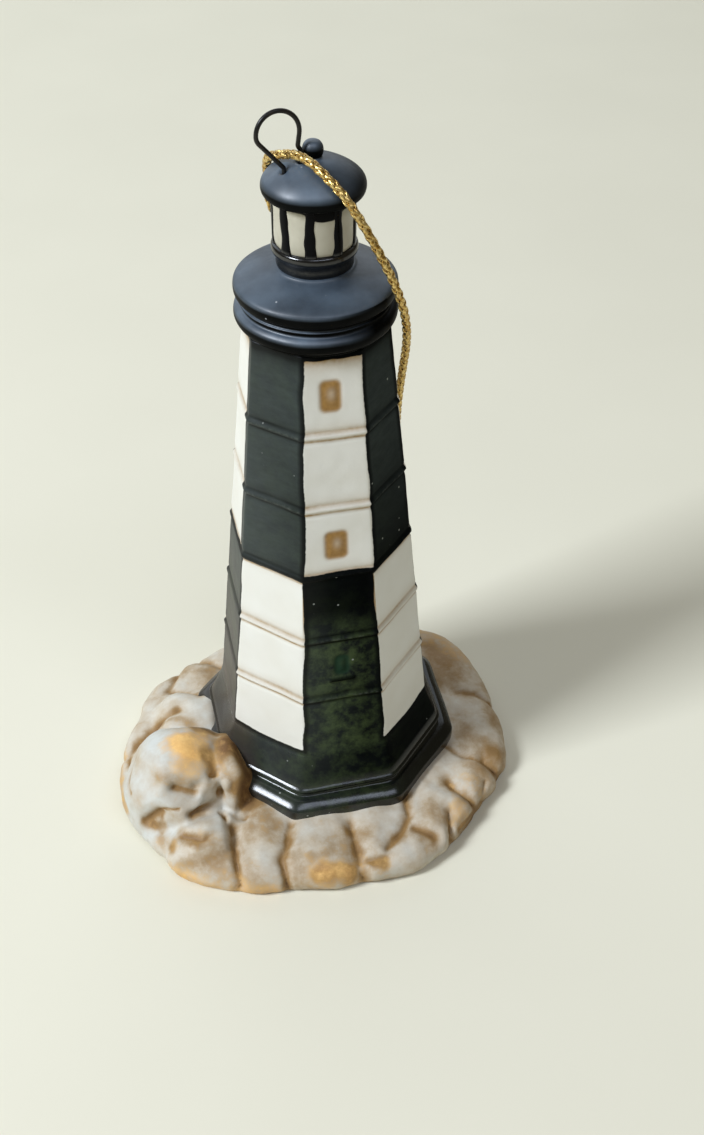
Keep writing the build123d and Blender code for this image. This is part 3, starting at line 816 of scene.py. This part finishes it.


# Black underglaze: deep black on the sides, a painted slate-blue sheen on surfaces facing up, with a few
# specks of bare clay
satin_black, tree, place = new_material("satin_black_underglaze")
painted_sheen = node(tree, "ShaderNodeAttribute", attribute_name="painted_sheen").outputs["Fac"]
cloud = node(tree, "ShaderNodeTexNoise", (place, 1 / (4 * mm), 4.0))
fine = node(tree, "ShaderNodeTexNoise", (place, 1 / (0.6 * mm), 3.0))
flecks = bare_flecks(tree, place, spacing=1.3, solid=0.05, gone=0.12, rarity=0.78)
thin_share = node(tree, "ShaderNodeMapRange", (cloud, 0.35, 0.7, 0.0, 1.0))
side_coat = node(tree, "ShaderNodeMix", (thin_share, linear("020303"), linear("0b0c0b")), data_type="RGBA")
# Painted sheen: surfaces facing up take the light slate-blue coat, the sides keep the paint's deep black
painted_sheen_coat = node(tree, "ShaderNodeMix", (thin_share, linear("394551"), linear("566573")), data_type="RGBA")
coat = node(tree, "ShaderNodeMix", (painted_sheen, side_coat, painted_sheen_coat), data_type="RGBA")
coated = node(tree, "ShaderNodeMix", (flecks, coat, linear("a9adb0")), data_type="RGBA")
sheen = node(tree, "ShaderNodeMapRange", {"Value": painted_sheen, "To Min": 0.04, "To Max": 0.85})
satin = node(tree, "ShaderNodeMapRange", {"Value": fine, "To Min": 0.38, "To Max": 0.56})
brush_marks = node(tree, "ShaderNodeBump", {"Height": fine, "Strength": 0.15, "Distance": 0.05 * mm})
surface = node(
    tree,
    "ShaderNodeBsdfPrincipled",
    {"Base Color": coated, "Roughness": satin, "Normal": brush_marks, "Specular IOR Level": sheen},
)
node(tree, "ShaderNodeOutputMaterial", {"Surface": surface})

gallery_rings = turned(finer(gallery_section), unevenness=0.07, shift=51.0)
gallery = new_piece("gallery_ring", *skin(gallery_rings), satin_black)
# Painted sheen on the deck, and on the ring below it fading to black towards the right
set_painted_sheen(gallery, low=76.9, dark_from=-2.0, dark_to=5.0, least=0.0, top_sheen_share=0.68)
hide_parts("gallery")
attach(gallery, "root")

# Lantern room
# A drum and a sill ring in black, and a glazed cream band that stands for the glass.
# The mullions are raised strips of clay, painted black by hand, so no two are quite alike.
drum_section = [
    (3.4, 78.5), (4.34, 78.5), (4.26, 80.25), (4.72, 80.35), (4.8, 81.1), (4.5, 81.48), (3.6, 81.52),
]
glass_section = [(3.8, 81.35), (4.46, 81.36), (4.44, 84.2), (4.46, 87.0), (3.8, 87.0)]
mullion_count = 9
mullion_seed = 4.0
# Turn of the front pane's middle from the front, in degrees
pane_phase = 3.0
# Sizes of the mullions in mm; Raise is how proud they stand and Wander how far their edges stray
mullion_sizes = {"Radius": 4.45, "Foot": 81.35, "Height": 5.6, "Width": 1.25, "Raise": 0.14, "Wander": 0.7}
rail_level = 86.45
# Where the rail is lower, a painted shadow of the eave over the front pane: by how much, at which turn in
# degrees, over how many to each side
eave_shadow_dip = (0.9, -86.0, 24.0)
rail_wander = ((0.1, 1.2, 69.0),)
# Noise that bends the mullions: how far apart they lie in it, its size in mm, where their breadth is read
strip_apart = 7.3
sway_size = 3.2
breadth_shift = (31.0, 5.0, 2.0)

# Black glaze, thick and wet-looking: almost no colour of its own, but small sharp highlights
black_glaze, tree, place = new_material("glossy_black_glaze")
pool = node(tree, "ShaderNodeTexNoise", (place, 1 / (1.5 * mm), 3.0))
glaze = node(tree, "ShaderNodeMix", (pool, linear("020203"), linear("0b0c0e")), data_type="RGBA")
wet = node(tree, "ShaderNodeMapRange", {"Value": pool, "To Min": 0.12, "To Max": 0.3})
lumps = node(tree, "ShaderNodeBump", {"Height": pool, "Strength": 0.3, "Distance": 0.1 * mm})
upright = node(tree, "ShaderNodeSeparateXYZ", {"Vector": place}).outputs["Z"]
drum_shine = node(tree, "ShaderNodeMapRange", (upright, 81.4 * mm, 81.8 * mm, 0.7, 0.06))
surface = node(
    tree,
    "ShaderNodeBsdfPrincipled",
    {"Base Color": glaze, "Roughness": wet, "Normal": lumps, "Specular IOR Level": drum_shine},
)
node(tree, "ShaderNodeOutputMaterial", {"Surface": surface})
drum = new_piece("lantern_drum", *skin(turned(finer(drum_section), unevenness=0.04, shift=61.0)), black_glaze)

# Clear glaze over cream slip: glossy, a little uneven in thickness, so the cream is greyer in patches
cream_glaze, tree, place = new_material("cream_glaze")
rail = node(tree, "ShaderNodeAttribute", attribute_name="rail").outputs["Fac"]
pool = node(tree, "ShaderNodeTexNoise", (place, 1 / (2.4 * mm), 3.0))
cream = node(tree, "ShaderNodeMix", (pool, linear("c6c2b0"), linear("a29c88")), data_type="RGBA")
rail_share = node(tree, "ShaderNodeMapRange", (rail, -0.06, 0.06, 0.0, 1.0))
# Black rail along the tops of the panes; where it dips over the front pane it is a painted shadow of the eave
banded = node(tree, "ShaderNodeMix", (rail_share, cream, linear("030304")), data_type="RGBA")
wet = node(tree, "ShaderNodeMapRange", {"Value": pool, "To Min": 0.12, "To Max": 0.26})
pane_shine = node(tree, "ShaderNodeMapRange", {"Value": rail_share, "To Min": 0.4, "To Max": 0.06})
surface = node(
    tree,
    "ShaderNodeBsdfPrincipled",
    {"Base Color": banded, "Roughness": wet, "Specular IOR Level": pane_shine},
)
node(tree, "ShaderNodeOutputMaterial", {"Surface": surface})
glass_rings = turned(finer(glass_section), unevenness=0.03, shift=67.0)
glass_band = new_piece("lantern_glass", *skin(glass_rings), cream_glaze)

# The rail under the roof: black brushed along the top of the panes, and lower over the front one a painted
# shadow of the eave
glass_points = glass_rings.reshape(-1, 3)
glass_turn = np.degrees(np.arctan2(glass_points[:, 1], glass_points[:, 0]))
rail_edge = rail_level - fading(glass_turn, *eave_shadow_dip, power=4)
set_attribute(glass_band.data, "rail", glass_points[:, 2] - rail_edge - ripples(glass_points, rail_wander))


def new_growth(name, counts, sizes):
    """Geometry node tree with named inputs for whole numbers and for sizes, and its input sockets."""
    tree = bpy.data.node_groups.new(name, "GeometryNodeTree")
    tree.interface.new_socket("Geometry", in_out="INPUT", socket_type="NodeSocketGeometry")
    for names, kind in ((counts, "NodeSocketInt"), (sizes, "NodeSocketFloat")):
        for given_name in names:
            tree.interface.new_socket(given_name, in_out="INPUT", socket_type=kind)
    tree.interface.new_socket("Geometry", in_out="OUTPUT", socket_type="NodeSocketGeometry")
    return tree, node(tree, "NodeGroupInput").outputs


def grow(piece, tree, values):
    """Runs a tree on the piece and leaves the result as its plain mesh."""
    modifier = piece.modifiers.new(tree.name, "NODES")
    modifier.node_group = tree
    for socket in tree.interface.items_tree:
        if socket.in_out == "INPUT" and socket.name in values:
            modifier[socket.identifier] = values[socket.name]
    return plain_mesh(piece)


# One flat plate for each mullion, bent round the glass with edges that wander
tree, given = new_growth("mullion_strips", ["Count"], [*mullion_sizes, "Phase", "Seed"])
plate_size = node(tree, "ShaderNodeCombineXYZ", (2.0, given["Height"], 1.0))
plate = node(
    tree, "GeometryNodeMeshCube", {"Size": plate_size, "Vertices X": 13, "Vertices Y": 40, "Vertices Z": 2}
)
stations = node(tree, "GeometryNodeMeshLine", {"Count": given["Count"], "Offset": (0.0, 0.0, 0.0)})
numbered = node(tree, "GeometryNodeCaptureAttribute", {"Geometry": stations})
numbered.capture_items.new("INT", "Number")
tree.links.new(node(tree, "GeometryNodeInputIndex").outputs[0], numbered.inputs[1])
number = numbered.outputs[1]
copies = node(tree, "GeometryNodeInstanceOnPoints", {"Points": numbered, "Instance": plate})
strips = node(tree, "GeometryNodeRealizeInstances", {"Geometry": copies})
on_plate = node(tree, "ShaderNodeSeparateXYZ", {"Vector": node(tree, "GeometryNodeInputPosition")}).outputs
apart = node(tree, "ShaderNodeMath", (number, strip_apart, given["Seed"]), operation="MULTIPLY_ADD")
lengthwise = node(tree, "ShaderNodeMath", (on_plate["Y"], 1 / (sway_size * mm)), operation="MULTIPLY")
edge_line = node(tree, "ShaderNodeCombineXYZ", (apart, lengthwise, 0.0))
breadth_line = node(tree, "ShaderNodeVectorMath", (edge_line, breadth_shift), operation="ADD")
sway = node(tree, "ShaderNodeTexNoise", (edge_line, 1.0, 1.0))
swelling = node(tree, "ShaderNodeTexNoise", (breadth_line, 1.0, 1.0))
known = {socket.name: socket for socket in given}
known["number"] = number
known["side"] = on_plate["X"]
known["along"] = on_plate["Y"]
known["layer"] = on_plate["Z"]
known["sway"] = sway
known["breadth"] = node(tree, "ShaderNodeMapRange", (swelling, 0.25, 0.75, 0.7, 1.3))
# Each row works out one value from those before it: name, operation, what goes in
for name, operation, *terms in (
    ("half width", "MULTIPLY", "Width", 0.5),
    ("half here", "MULTIPLY", "half width", "breadth"),
    ("sway centred", "SUBTRACT", "sway", 0.5),
    ("shift here", "MULTIPLY", "sway centred", "Wander"),
    ("sideways", "MULTIPLY_ADD", "side", "half here", "shift here"),
    ("turn here", "DIVIDE", "sideways", "Radius"),
    ("bay", "DIVIDE", 2 * math.pi, "Count"),
    ("station turn", "MULTIPLY_ADD", "number", "bay", "Phase"),
    ("turn", "ADD", "station turn", "turn here"),
    ("from middle", "ABSOLUTE", "side"),
    ("crown", "POWER", "from middle", 4.0),
    ("drop", "MULTIPLY_ADD", "crown", -1.3, 1.0),
    ("top", "ADD", "layer", 0.5),
    ("raised", "MULTIPLY", "drop", "top"),
    ("sunk", "MULTIPLY_ADD", "top", 2.0, -2.0),
    ("stand", "ADD", "raised", "sunk"),
    ("proud", "MULTIPLY_ADD", "stand", "Raise", "Radius"),
    ("cosine", "COSINE", "turn"),
    ("sine", "SINE", "turn"),
    ("east", "MULTIPLY", "proud", "cosine"),
    ("north", "MULTIPLY", "proud", "sine"),
    ("middle", "MULTIPLY_ADD", "Height", 0.5, "Foot"),
    ("level", "ADD", "along", "middle"),
):
    known[name] = node(tree, "ShaderNodeMath", [known.get(term, term) for term in terms], operation=operation)
spot = node(tree, "ShaderNodeCombineXYZ", (known["east"], known["north"], known["level"]))
wrapped = node(tree, "GeometryNodeSetPosition", {"Geometry": strips, "Position": spot})
real = node(tree, "GeometryNodeRealizeInstances", {"Geometry": wrapped})
coated = node(tree, "GeometryNodeSetMaterial", {"Geometry": real, "Material": black_glaze})
node(tree, "NodeGroupOutput", {"Geometry": coated})

mullions = new_piece("lantern_mullions", [], [], black_glaze)
mullion_values = {name: size * mm for name, size in mullion_sizes.items()}
mullion_values["Count"] = mullion_count
mullion_values["Phase"] = math.radians(pane_phase - 90 + 180 / mullion_count)
mullion_values["Seed"] = mullion_seed
grow(mullions, tree, mullion_values)
for part in (drum, glass_band, mullions):
    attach(part, "root")
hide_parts("lantern_room")

# Roof
# A low dome with a soft rounded eave, cast solid and painted black.
# Two small holes take the legs of the wire eye, and a seat at the crown takes the ball.
roof_section = [
    (3.2, 86.75), (5.0, 86.78), (5.6, 87.15), (5.66, 88.2), (4.9, 89.1), (3.4, 90.05), (1.8, 90.72),
    (0.05, 90.86),
]
eave_top = 88.4
wire_feet = [(-3.26, -0.98), (-1.43, -0.66)]
pit_radius = 0.42
pit_depth = 0.3
above_all = 99.0

roof_rings = turned(finer(roof_section), unevenness=0.06, shift=71.0)
for foot in wire_feet:
    from_foot = np.linalg.norm(roof_rings[..., :2] - foot, axis=-1)
    pit = fading(from_foot, pit_depth, 0.0, pit_radius, power=4)
    roof_rings[..., 2] -= np.where(roof_rings[..., 2] > eave_top, pit, 0)
roof = new_piece("roof_dome", *skin(roof_rings), satin_black)
# Painted sheen on the dome, strong on the left and fading towards the right
set_painted_sheen(roof, low=above_all, dark_from=-0.5, dark_to=4.5, least=0.12)
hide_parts("lantern_roof")
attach(roof, "root")

# Ball finial
# A small ball of clay pressed on the crown with slip, which squeezes out as a fillet round its foot.
# It has the roof's black.
ball_section = [
    (0.3, 90.55), (1.2, 90.6), (0.85, 90.9), (1.12, 91.12), (1.14, 91.9), (0.72, 92.5), (0.05, 92.56),
]
ball_rings = turned(finer(ball_section), unevenness=0.05, shift=79.0)
finial = new_piece("finial_ball", *skin(ball_rings), satin_black)
# Painted sheen on the ball, weaker on the right
set_painted_sheen(finial, low=above_all, dark_from=0.0, dark_to=1.5, least=0.5)
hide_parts("ball_finial")
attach(finial, "root")

# Wire eye and its cement
# One piece of annealed iron wire bent into an eye, its legs cemented into the roof.
# The wire is blackened, with a faint brown bloom where the bending broke the film.
wire_radius = 0.25
eye_foot = (-3.26, -0.98, 89.98)
eye_turn = math.radians(10)
# Bends from the left foot to the right one: straight run, then radius and turn in degrees, left positive
wire_bends = [
    (1.6, 0.5, 41.4),
    (3.685, 1.25, -41.4),
    (0.0, 2.34, -189.0),
    (1.1, 0.5, 47.0),
    (0.05, 0.5, -38.0),
]
wire_start = -1.5
wire_tail = 2.0
bend_step = 6


def line_mesh(name, kind, routes, settings):
    """Mesh of a curve through routes in mm, whose splines are of one kind; settings go on the curve."""
    curve = bpy.data.curves.new(name, "CURVE")
    curve.dimensions = "3D"
    for setting, value in settings.items():
        setattr(curve, setting, value)
    for route in routes:
        spline = curve.splines.new(kind)
        spline.points.add(len(route) - 1)
        for point, spot in zip(spline.points, route):
            point.co = (*(Vector(spot) * mm), 1.0)
        if kind == "NURBS":
            spline.order_u = 3
            spline.use_endpoint_u = True
    holder = put_in_scene(name, curve)
    mesh = bpy.data.meshes.new_from_object(holder.evaluated_get(bpy.context.evaluated_depsgraph_get()))
    bpy.data.objects.remove(holder)
    return mesh


# Blackened iron: nearly black, with a dull metal sheen, browner where the bloom shows
black_wire, tree, place = new_material("blackened_iron_wire")
bloom = node(tree, "ShaderNodeTexNoise", (place, 1 / (1.6 * mm), 4.0))
bloom_share = node(tree, "ShaderNodeMapRange", (bloom, 0.5, 0.8, 0.0, 1.0))
film = node(tree, "ShaderNodeMix", (bloom_share, linear("100f0e"), linear("2c211a")), data_type="RGBA")
film_gloss = node(tree, "ShaderNodeMapRange", {"Value": bloom, "To Min": 0.28, "To Max": 0.5})
surface = node(
    tree, "ShaderNodeBsdfPrincipled", {"Base Color": film, "Roughness": film_gloss, "Metallic": 0.35}
)
node(tree, "ShaderNodeOutputMaterial", {"Surface": surface})

heading = math.pi / 2
spot = np.array((0.0, wire_start))
wire_line = [spot]
for run, radius, degrees_turned in wire_bends:
    if run:
        spot = spot + run * np.array((math.cos(heading), math.sin(heading)))
        wire_line.append(spot)
    steps = max(4, int(abs(degrees_turned) / bend_step))
    side = math.copysign(1, degrees_turned)
    middle = spot + side * radius * np.array((-math.sin(heading), math.cos(heading)))
    for step in range(1, steps + 1):
        turned_by = math.radians(degrees_turned) * step / steps
        arm = side * radius * np.array((math.sin(heading + turned_by), -math.cos(heading + turned_by)))
        wire_line.append(middle + arm)
    heading += math.radians(degrees_turned)
    spot = wire_line[-1]
wire_line.append(spot + wire_tail * np.array((math.cos(heading), math.sin(heading))))
wire_route = [
    (eye_foot[0] + out * math.cos(eye_turn), eye_foot[1] + out * math.sin(eye_turn), eye_foot[2] + up)
    for out, up in wire_line
]
wire_form = {"bevel_depth": wire_radius * mm, "bevel_resolution": 5, "use_fill_caps": True}
wire_mesh = line_mesh("wire_line", "POLY", [wire_route], wire_form)
wire_mesh.materials.clear()
wire_mesh.materials.append(black_wire)
wire_mesh.shade_smooth()
wire = put_in_scene("wire_eye", wire_mesh)
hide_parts("hanger_wire")
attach(wire, "root")

# Fixing cement darkened by the roof's paint: matte and slightly sandy
cement_paste, tree, place = new_material("fixing_cement")
sand = node(tree, "ShaderNodeTexNoise", (place, 1 / (0.25 * mm), 3.0))
paste = node(tree, "ShaderNodeMix", (sand, linear("1c1c1d"), linear("343330")), data_type="RGBA")
sandy = node(tree, "ShaderNodeMapRange", {"Value": sand, "To Min": 0.75, "To Max": 0.95})
surface = node(tree, "ShaderNodeBsdfPrincipled", {"Base Color": paste, "Roughness": sandy})
node(tree, "ShaderNodeOutputMaterial", {"Surface": surface})
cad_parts["hanger_cement"].data.materials.clear()
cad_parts["hanger_cement"].data.materials.append(cement_paste)

# Hanging cord
# A loop of thin braided cord: foil-wrapped gold yarns plaited round a dark core, limp and springy.
# It runs from the knot up behind the tower, through the wire eye and down the right side.
knot_place = (10.0, 10.0)
knot_top = 27.0
end_offset = 0.44
end_run = 4.0


def at_knot(offsets):
    """Points round the knot, from offsets to its middle in plan, and heights."""
    return [(knot_place[0] + right, knot_place[1] + back, height) for right, back, height in offsets]


cord_route = [
    *at_knot([(-end_offset, end_offset, knot_top), (-end_offset, end_offset, knot_top + end_run)]),
    (9.2, 10.7, 37.0), (8.7, 10.2, 46.0), (8.2, 9.9, 56.0), (7.4, 9.8, 66.0), (6.3, 9.9, 74.0),
    (4.6, 9.5, 78.4), (1.9, 8.2, 79.6), (-1.4, 6.9, 80.5), (-3.5, 5.9, 82.2), (-4.0, 5.4, 84.7),
    (-4.05, 5.1, 87.6), (-4.25, 3.4, 89.6), (-3.8, 1.6, 90.6), (-3.0, 0.1, 91.25), (-2.0, -1.3, 91.75),
    (-0.8, -2.9, 91.5), (0.4, -4.4, 90.5), (1.9, -5.7, 89.0), (3.5, -6.6, 86.45), (5.2, -7.1, 83.2),
    (6.8, -7.2, 79.8), (8.2, -6.6, 76.2), (9.2, -5.1, 72.6), (9.9, -2.9, 68.6), (10.2, -0.4, 63.6),
    (10.4, 1.9, 57.6), (10.9, 4.2, 51.0), (11.4, 6.4, 44.0), (11.3, 8.1, 37.0),
    *at_knot([(end_offset, -end_offset, knot_top + end_run), (end_offset, -end_offset, knot_top)]),
]
yarns_each_way = 3
braid_step = 0.14
# Sizes of the braid in mm, for cord of full thickness
braid_sizes = {
    "Pitch": 4.3,
    "Lay radius": 0.33,
    "Weave depth": 0.085,
    "Yarn half width": 0.26,
    "Yarn half thickness": 0.11,
    "Core radius": 0.27,
}

# Metallised foil yarn: bright gold with a broad sparkle, darker amber in small patches
gold_foil, tree, place = new_material("gold_foil_yarn")
glitter = node(tree, "ShaderNodeTexNoise", (place, 1 / (0.35 * mm), 3.0))
foil_share = node(tree, "ShaderNodeMapRange", (glitter, 0.35, 0.65, 0.0, 1.0))
foil = node(tree, "ShaderNodeMix", (foil_share, linear("a67d33"), linear("ecd28c")), data_type="RGBA")
foil_gloss = node(tree, "ShaderNodeMapRange", {"Value": glitter, "To Min": 0.2, "To Max": 0.42})
creases = node(tree, "ShaderNodeBump", {"Height": glitter, "Strength": 0.5, "Distance": 0.06 * mm})
surface = node(
    tree,
    "ShaderNodeBsdfPrincipled",
    {"Base Color": foil, "Roughness": foil_gloss, "Metallic": 0.85, "Normal": creases},
)
node(tree, "ShaderNodeOutputMaterial", {"Surface": surface})

# Dark cotton core that shows in the gaps of the braid
core_cotton, tree, place = new_material("brown_core_cotton")
lint = node(tree, "ShaderNodeTexNoise", (place, 1 / (0.3 * mm), 2.0))
cotton = node(tree, "ShaderNodeMix", (lint, linear("2a1a09"), linear("5a3a14")), data_type="RGBA")
surface = node(tree, "ShaderNodeBsdfPrincipled", {"Base Color": cotton, "Roughness": 0.9})
node(tree, "ShaderNodeOutputMaterial", {"Surface": surface})

# Yarns wound both ways round the core, each over and under the others
braid_tree, given = new_growth("braid_on_path", ["Yarns each way"], [*braid_sizes, "Step"])
line = node(braid_tree, "GeometryNodeMeshToCurve", {"Mesh": given["Geometry"]})
stepped = node(
    braid_tree, "GeometryNodeResampleCurve", {"Curve": line, "Length": given["Step"]}, mode="LENGTH"
)
travelled = node(braid_tree, "GeometryNodeSplineParameter").outputs["Length"]
twist_rate = node(braid_tree, "ShaderNodeMath", (2 * math.pi, given["Pitch"]), operation="DIVIDE")
twist = node(braid_tree, "ShaderNodeMath", (travelled, twist_rate), operation="MULTIPLY")
yarn_gap = node(braid_tree, "ShaderNodeMath", (2 * math.pi, given["Yarns each way"]), operation="DIVIDE")
beat = node(braid_tree, "ShaderNodeMath", (twist, given["Yarns each way"]), operation="MULTIPLY")
weave = node(braid_tree, "ShaderNodeMath", (beat,), operation="COSINE")
outward = node(braid_tree, "GeometryNodeInputNormal").outputs["Normal"]
forward = node(braid_tree, "GeometryNodeInputTangent").outputs["Tangent"]
sideward = node(braid_tree, "ShaderNodeVectorMath", (forward, outward), operation="CROSS_PRODUCT")
yarn_circle = node(
    braid_tree, "GeometryNodeCurvePrimitiveCircle", {"Resolution": 8, "Radius": 1.0}, mode="RADIUS"
)
yarn_size = node(
    braid_tree, "ShaderNodeCombineXYZ", (given["Yarn half thickness"], given["Yarn half width"], 1.0)
)
yarn_section = node(braid_tree, "GeometryNodeTransform", {"Geometry": yarn_circle, "Scale": yarn_size})
braided = node(braid_tree, "GeometryNodeJoinGeometry")
for way in (1.0, -1.0):
    yarns = node(
        braid_tree,
        "GeometryNodeDuplicateElements",
        {"Geometry": stepped, "Amount": given["Yarns each way"]},
        domain="SPLINE",
    )
    which = yarns.outputs["Duplicate Index"]
    wound = node(braid_tree, "ShaderNodeMath", (twist, way), operation="MULTIPLY")
    around = node(braid_tree, "ShaderNodeMath", (which, yarn_gap, wound), operation="MULTIPLY_ADD")
    cosine = node(braid_tree, "ShaderNodeMath", (around,), operation="COSINE")
    sine = node(braid_tree, "ShaderNodeMath", (around,), operation="SINE")
    out_part = node(braid_tree, "ShaderNodeVectorMath", (outward, cosine), operation="SCALE")
    side_part = node(braid_tree, "ShaderNodeVectorMath", (sideward, sine), operation="SCALE")
    radial = node(braid_tree, "ShaderNodeVectorMath", (out_part, side_part), operation="ADD")
    kept = node(braid_tree, "GeometryNodeCaptureAttribute", {"Geometry": yarns})
    kept.capture_items.new("VECTOR", "Radial")
    braid_tree.links.new(radial.outputs[0], kept.inputs[1])
    over_under = node(braid_tree, "ShaderNodeMath", (given["Weave depth"], way), operation="MULTIPLY")
    lay = node(
        braid_tree, "ShaderNodeMath", (weave, over_under, given["Lay radius"]), operation="MULTIPLY_ADD"
    )
    push = node(braid_tree, "ShaderNodeVectorMath", (kept.outputs[1], lay), operation="SCALE")
    laid = node(braid_tree, "GeometryNodeSetPosition", {"Geometry": kept, "Offset": push})
    facing_out = node(
        braid_tree, "GeometryNodeSetCurveNormal", {"Curve": laid, "Normal": kept.outputs[1]}, mode="FREE"
    )
    swept = node(
        braid_tree,
        "GeometryNodeCurveToMesh",
        {"Curve": facing_out, "Profile Curve": yarn_section, "Fill Caps": True},
    )
    braid_tree.links.new(swept.outputs[0], braided.inputs[0])
core_circle = node(
    braid_tree,
    "GeometryNodeCurvePrimitiveCircle",
    {"Resolution": 10, "Radius": given["Core radius"]},
    mode="RADIUS",
)
core = node(
    braid_tree, "GeometryNodeCurveToMesh", {"Curve": stepped, "Profile Curve": core_circle, "Fill Caps": True}
)
marked = node(braid_tree, "GeometryNodeCaptureAttribute", {"Geometry": core}, domain="FACE")
marked.capture_items.new("BOOLEAN", "Core")
marked.inputs[1].default_value = True
braid_tree.links.new(marked.outputs[0], braided.inputs[0])
real = node(braid_tree, "GeometryNodeRealizeInstances", {"Geometry": braided})
gilded = node(braid_tree, "GeometryNodeSetMaterial", {"Geometry": real, "Material": gold_foil})
cored = node(
    braid_tree,
    "GeometryNodeSetMaterial",
    {"Geometry": gilded, "Selection": marked.outputs[1], "Material": core_cotton},
)
node(braid_tree, "NodeGroupOutput", {"Geometry": cored})


def braid_along(name, routes, scale):
    """Braided cord along NURBS routes in mm, and the points of their line in metres."""
    piece = put_in_scene(name, line_mesh(name + "_line", "NURBS", routes, {"resolution_u": 12}))
    path = [tuple(vertex.co) for vertex in piece.data.vertices]
    values = {size_name: size * scale * mm for size_name, size in braid_sizes.items()}
    values["Yarns each way"] = yarns_each_way
    values["Step"] = braid_step * mm
    grow(piece, braid_tree, values)
    return piece, path


cord, cord_path = braid_along("hanging_braid", [cord_route], 1.0)

# Knot of the cord
# One end is wound round the other and drawn tight, and the two cut tails hang below it.
# It is tied in the cord itself and closes the loop behind the tower.
knot_bottom = 23.8
tail_end = 19.4
wrap_radius = 1.0
wrap_turns = 2.5
wrap_steps = 20
wrap_start = math.radians(-45)
wrap_top = knot_top - 0.9
wrap_drop = knot_top - knot_bottom - 1.6
knot_scale = 0.9
# Offsets from the knot's middle in plan, and heights
straight_end = [
    (-end_offset, end_offset, knot_top + 0.3),
    (-0.3, 0.3, knot_top - 1.0),
    (-0.25, 0.25, knot_bottom),
    (-0.5, 0.6, tail_end + 2.0),
    (-0.7, 0.9, tail_end),
]
wound_end = [(end_offset, -end_offset, knot_top + 0.3), (0.55, -0.55, knot_top - 0.5)]
for step in range(wrap_steps + 1):
    turn = wrap_start + 2 * math.pi * wrap_turns * step / wrap_steps
    drop = wrap_drop * step / wrap_steps
    wound_end.append((wrap_radius * math.cos(turn), wrap_radius * math.sin(turn), wrap_top - drop))
wound_end += [(0.3, 0.1, knot_bottom + 0.1), (0.6, -0.2, tail_end + 2.2), (0.95, -0.4, tail_end + 0.3)]
knot = braid_along("cord_tie", [at_knot(straight_end), at_knot(wound_end)], knot_scale)[0]
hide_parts("cord_knot")
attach(knot, "root")
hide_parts("hanging_cord")
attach(cord, "root")

# Floor
# A plain cream board, matte, with the faintest unevenness of paper.
# It carries the ornament's shadow and nothing else.
floor_half = 2500.0
cream_board, tree, place = new_material("cream_board")
paper = node(tree, "ShaderNodeTexNoise", (place, 1 / (40 * mm), 2.0))
board = node(tree, "ShaderNodeMix", (paper, linear("e0dcc8"), linear("e6e2ce")), data_type="RGBA")
surface = node(tree, "ShaderNodeBsdfPrincipled", {"Base Color": board, "Roughness": 0.85})
node(tree, "ShaderNodeOutputMaterial", {"Surface": surface})
floor_corners = [(x * floor_half, y * floor_half, 0) for x, y in ((-1, -1), (1, -1), (1, 1), (-1, 1))]
floor = new_piece("floor", floor_corners, [(0, 1, 2, 3)], cream_board)

# Light
# A soft key from the left gives the bright left faces and the shadow to the right; the room light is warm.
# A cool panel behind gives a sheen on the roof and the deck, on top of the sheen painted there; a narrow
# strip the lines on the plinth.
# Lamps: name, place in mm, width and depth in mm, power in watts, colour
lamps = [
    ("key", (-661.0, -158.0, 620.0), 230.0, 230.0, 8.9, "edf4ff"),
    ("sky", (40.0, 620.0, 370.0), 1100.0, 540.0, 2.8, "dfe9f4"),
    ("strip", (70.0, -350.0, 600.0), 520.0, 110.0, 1.2, "dfe9ff"),
]
lamp_target = (0.0, 0.0, 40.0)
for name, where, width, depth, power, colour in lamps:
    lamp = bpy.data.lights.new(name, "AREA")
    lamp.shape = "RECTANGLE"
    lamp.size = width * mm
    lamp.size_y = depth * mm
    lamp.energy = power
    lamp.color = linear(colour)[:3]
    holder = put_in_scene(name, lamp)
    holder.location = Vector(where) * mm
    holder.rotation_euler = (Vector(lamp_target) - Vector(where)).to_track_quat("-Z", "Y").to_euler()
world = bpy.data.worlds.new("room")
bpy.context.scene.world = world
world.use_nodes = True
world.node_tree.nodes.clear()
room = node(world.node_tree, "ShaderNodeBackground", {"Color": linear("ffeec0"), "Strength": 0.145})
node(world.node_tree, "ShaderNodeOutputWorld", {"Surface": room})
bpy.context.scene.view_settings.view_transform = "Standard"

# Camera
# It stands high in front of the tower and looks down at it, a little from the left.
camera_place = (-25.766, -127.551, 149.141)
camera_right = (0.97371, -0.22779, 0.00114)
camera_up = (0.15010, 0.64536, 0.74899)
camera_back = (-0.17135, -0.72913, 0.66258)
lens = bpy.data.cameras.new("camera")
lens.lens = 41.80
lens.sensor_width = 36.0
lens.clip_start = 10 * mm
camera = put_in_scene("camera", lens)
camera.matrix_world = Matrix.Translation(Vector(camera_place) * mm) @ (
    Matrix((camera_right, camera_up, camera_back)).transposed().to_4x4()
)
bpy.context.scene.camera = camera
